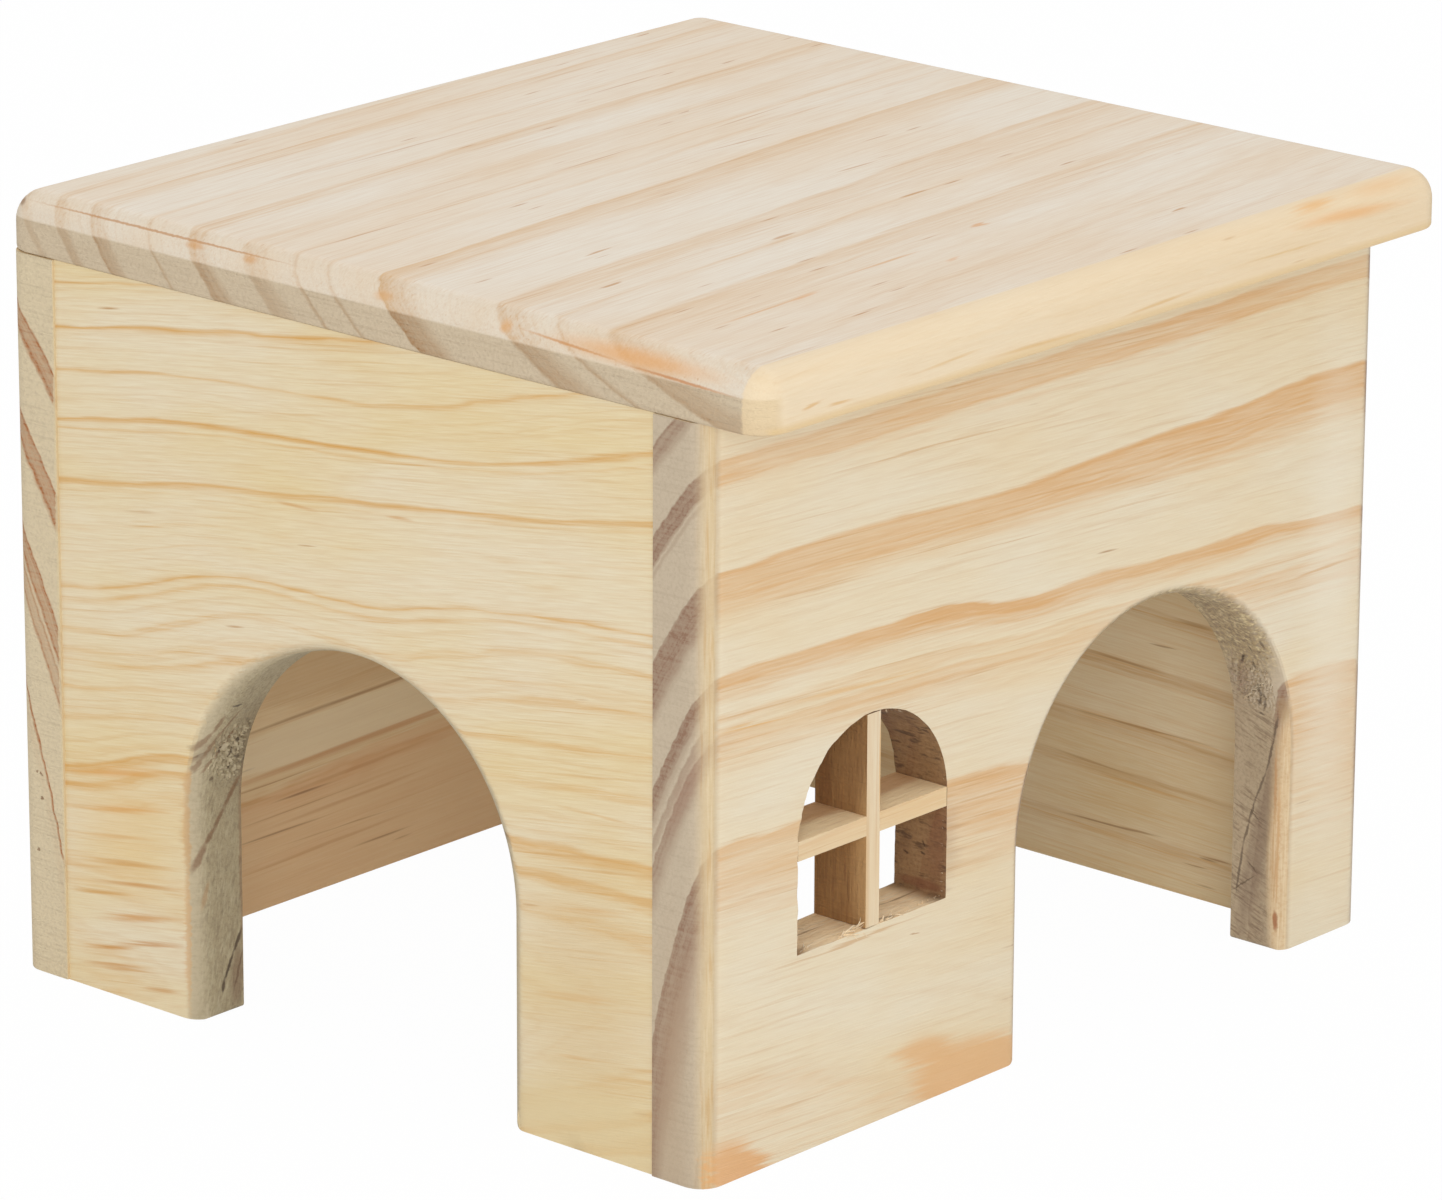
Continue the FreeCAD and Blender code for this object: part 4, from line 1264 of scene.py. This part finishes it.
FLOOR_WIDTH = 8                         # metres
FLOOR_DROP = 0.0001                     # metres below the house's feet
FLOOR_GLOW = 0.98                       # the share of plain white that the camera sees in the floor
SKY_LIGHT = 0.72                        # how brightly the surroundings light the house
LAMPS = (
    # name, place, what it points at, width in metres, power in watts
    ("front_softbox", (-0.95, -0.9, 0.4), (0, 0, 0.05), 0.9, 6.0),
    ("top_softbox", (0.1, 0.0, 1.3), (0, 0, 0), 1.2, 3.5),
    ("inner_fill", (0, 0.005, 0.104), (0, 0.005, 0), 0.09, 0.016),
)
CAMERA_PLACE = (-836.12, -737.68, 409.36)       # millimetres
CAMERA_YAW = 48.535                     # degrees, as are the two below
CAMERA_PITCH = 17.662
CAMERA_ROLL = 0.24
CAMERA_LENS = 199.22
CAMERA_SENSOR = 36
CAMERA_REACH = 100                      # metres


def white_floor():
    """A white sweep: it bounces light, and shows white apart from the house's soft shadow."""
    material = bpy.data.materials.new("white_floor_paper")
    material.use_nodes = True
    tree = material.node_tree
    tree.nodes.clear()
    rays = add(tree, "ShaderNodeLightPath")
    seen = add(tree, "ShaderNodeMath", {
        0: rays.outputs["Is Camera Ray"], 1: rays.outputs["Is Glossy Ray"]}, operation="MAXIMUM")
    seen = add(tree, "ShaderNodeMath", {
        0: seen.outputs[0], 1: rays.outputs["Is Transmission Ray"]}, operation="MAXIMUM")
    share = add(tree, "ShaderNodeMath", {0: seen.outputs[0], 1: FLOOR_GLOW}, operation="MULTIPLY")
    paper = add(tree, "ShaderNodeBsdfDiffuse", {"Color": (0.9, 0.9, 0.9, 1)})
    glow = add(tree, "ShaderNodeEmission", {"Color": (1, 1, 1, 1), "Strength": 1.0})
    mixed = add(tree, "ShaderNodeMixShader", {
        0: share.outputs[0], 1: paper.outputs[0], 2: glow.outputs[0]})
    add(tree, "ShaderNodeOutputMaterial", {"Surface": mixed.outputs[0]})
    bpy.ops.object.select_all(action="DESELECT")
    bpy.ops.mesh.primitive_plane_add(size=FLOOR_WIDTH, location=(0, 0, -FLOOR_DROP))
    floor = bpy.context.object
    name_piece(floor, "studio_floor")
    keep_place(floor)
    floor.data.materials.append(material)


def studio_light():
    """Even white surroundings, two large soft lamps and a faint one inside."""
    scene = bpy.context.scene
    world = bpy.data.worlds.new("white_studio")
    scene.world = world
    world.use_nodes = True
    tree = world.node_tree
    tree.nodes.clear()
    rays = add(tree, "ShaderNodeLightPath")
    level = add(tree, "ShaderNodeMapRange", {
        0: rays.outputs["Is Camera Ray"], 1: 0, 2: 1, 3: SKY_LIGHT, 4: 1.0})
    white = add(tree, "ShaderNodeBackground", {"Color": (1, 1, 1, 1), "Strength": level.outputs[0]})
    add(tree, "ShaderNodeOutputWorld", {"Surface": white.outputs[0]})
    for name, place, aim_at, width, power in LAMPS:
        lamp = bpy.data.lights.new(name, "AREA")
        lamp.shape = "SQUARE"
        lamp.size = width
        lamp.energy = power
        stand = bpy.data.objects.new(name, lamp)
        stand.location = place
        aim = Vector(aim_at) - Vector(place)
        stand.rotation_euler = aim.to_track_quat("-Z", "Y").to_euler()
        stand.visible_camera = False
        scene.collection.objects.link(stand)
    scene.view_settings.view_transform = "Standard"


def studio_camera():
    """A long lens from the front left, slightly above the roof."""
    data = bpy.data.cameras.new("studio_camera")
    data.sensor_fit = "HORIZONTAL"
    data.sensor_width = CAMERA_SENSOR
    data.lens = CAMERA_LENS
    data.clip_end = CAMERA_REACH
    camera = bpy.data.objects.new("studio_camera", data)
    turn = Euler((math.radians(90 - CAMERA_PITCH), 0, -math.radians(CAMERA_YAW))).to_matrix()
    turn = turn @ Matrix.Rotation(math.radians(CAMERA_ROLL), 3, "Z")
    camera.matrix_world = Matrix.Translation(Vector(CAMERA_PLACE) * MM) @ turn.to_4x4()
    bpy.context.scene.collection.objects.link(camera)
    bpy.context.scene.camera = camera


def dress_dowels():
    """The blind dowels keep their CAD shape and get turned beech."""
    beech = pine("turned_beech_dowel", BEECH_GRAIN)
    for name in ("front_left_dowels", "front_right_dowels", "back_left_dowels", "back_right_dowels",
                 "roof_dowels"):
        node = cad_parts[name]
        node.data.materials.clear()
        node.data.materials.append(beech)


dress_dowels()
white_floor()
studio_light()
studio_camera()
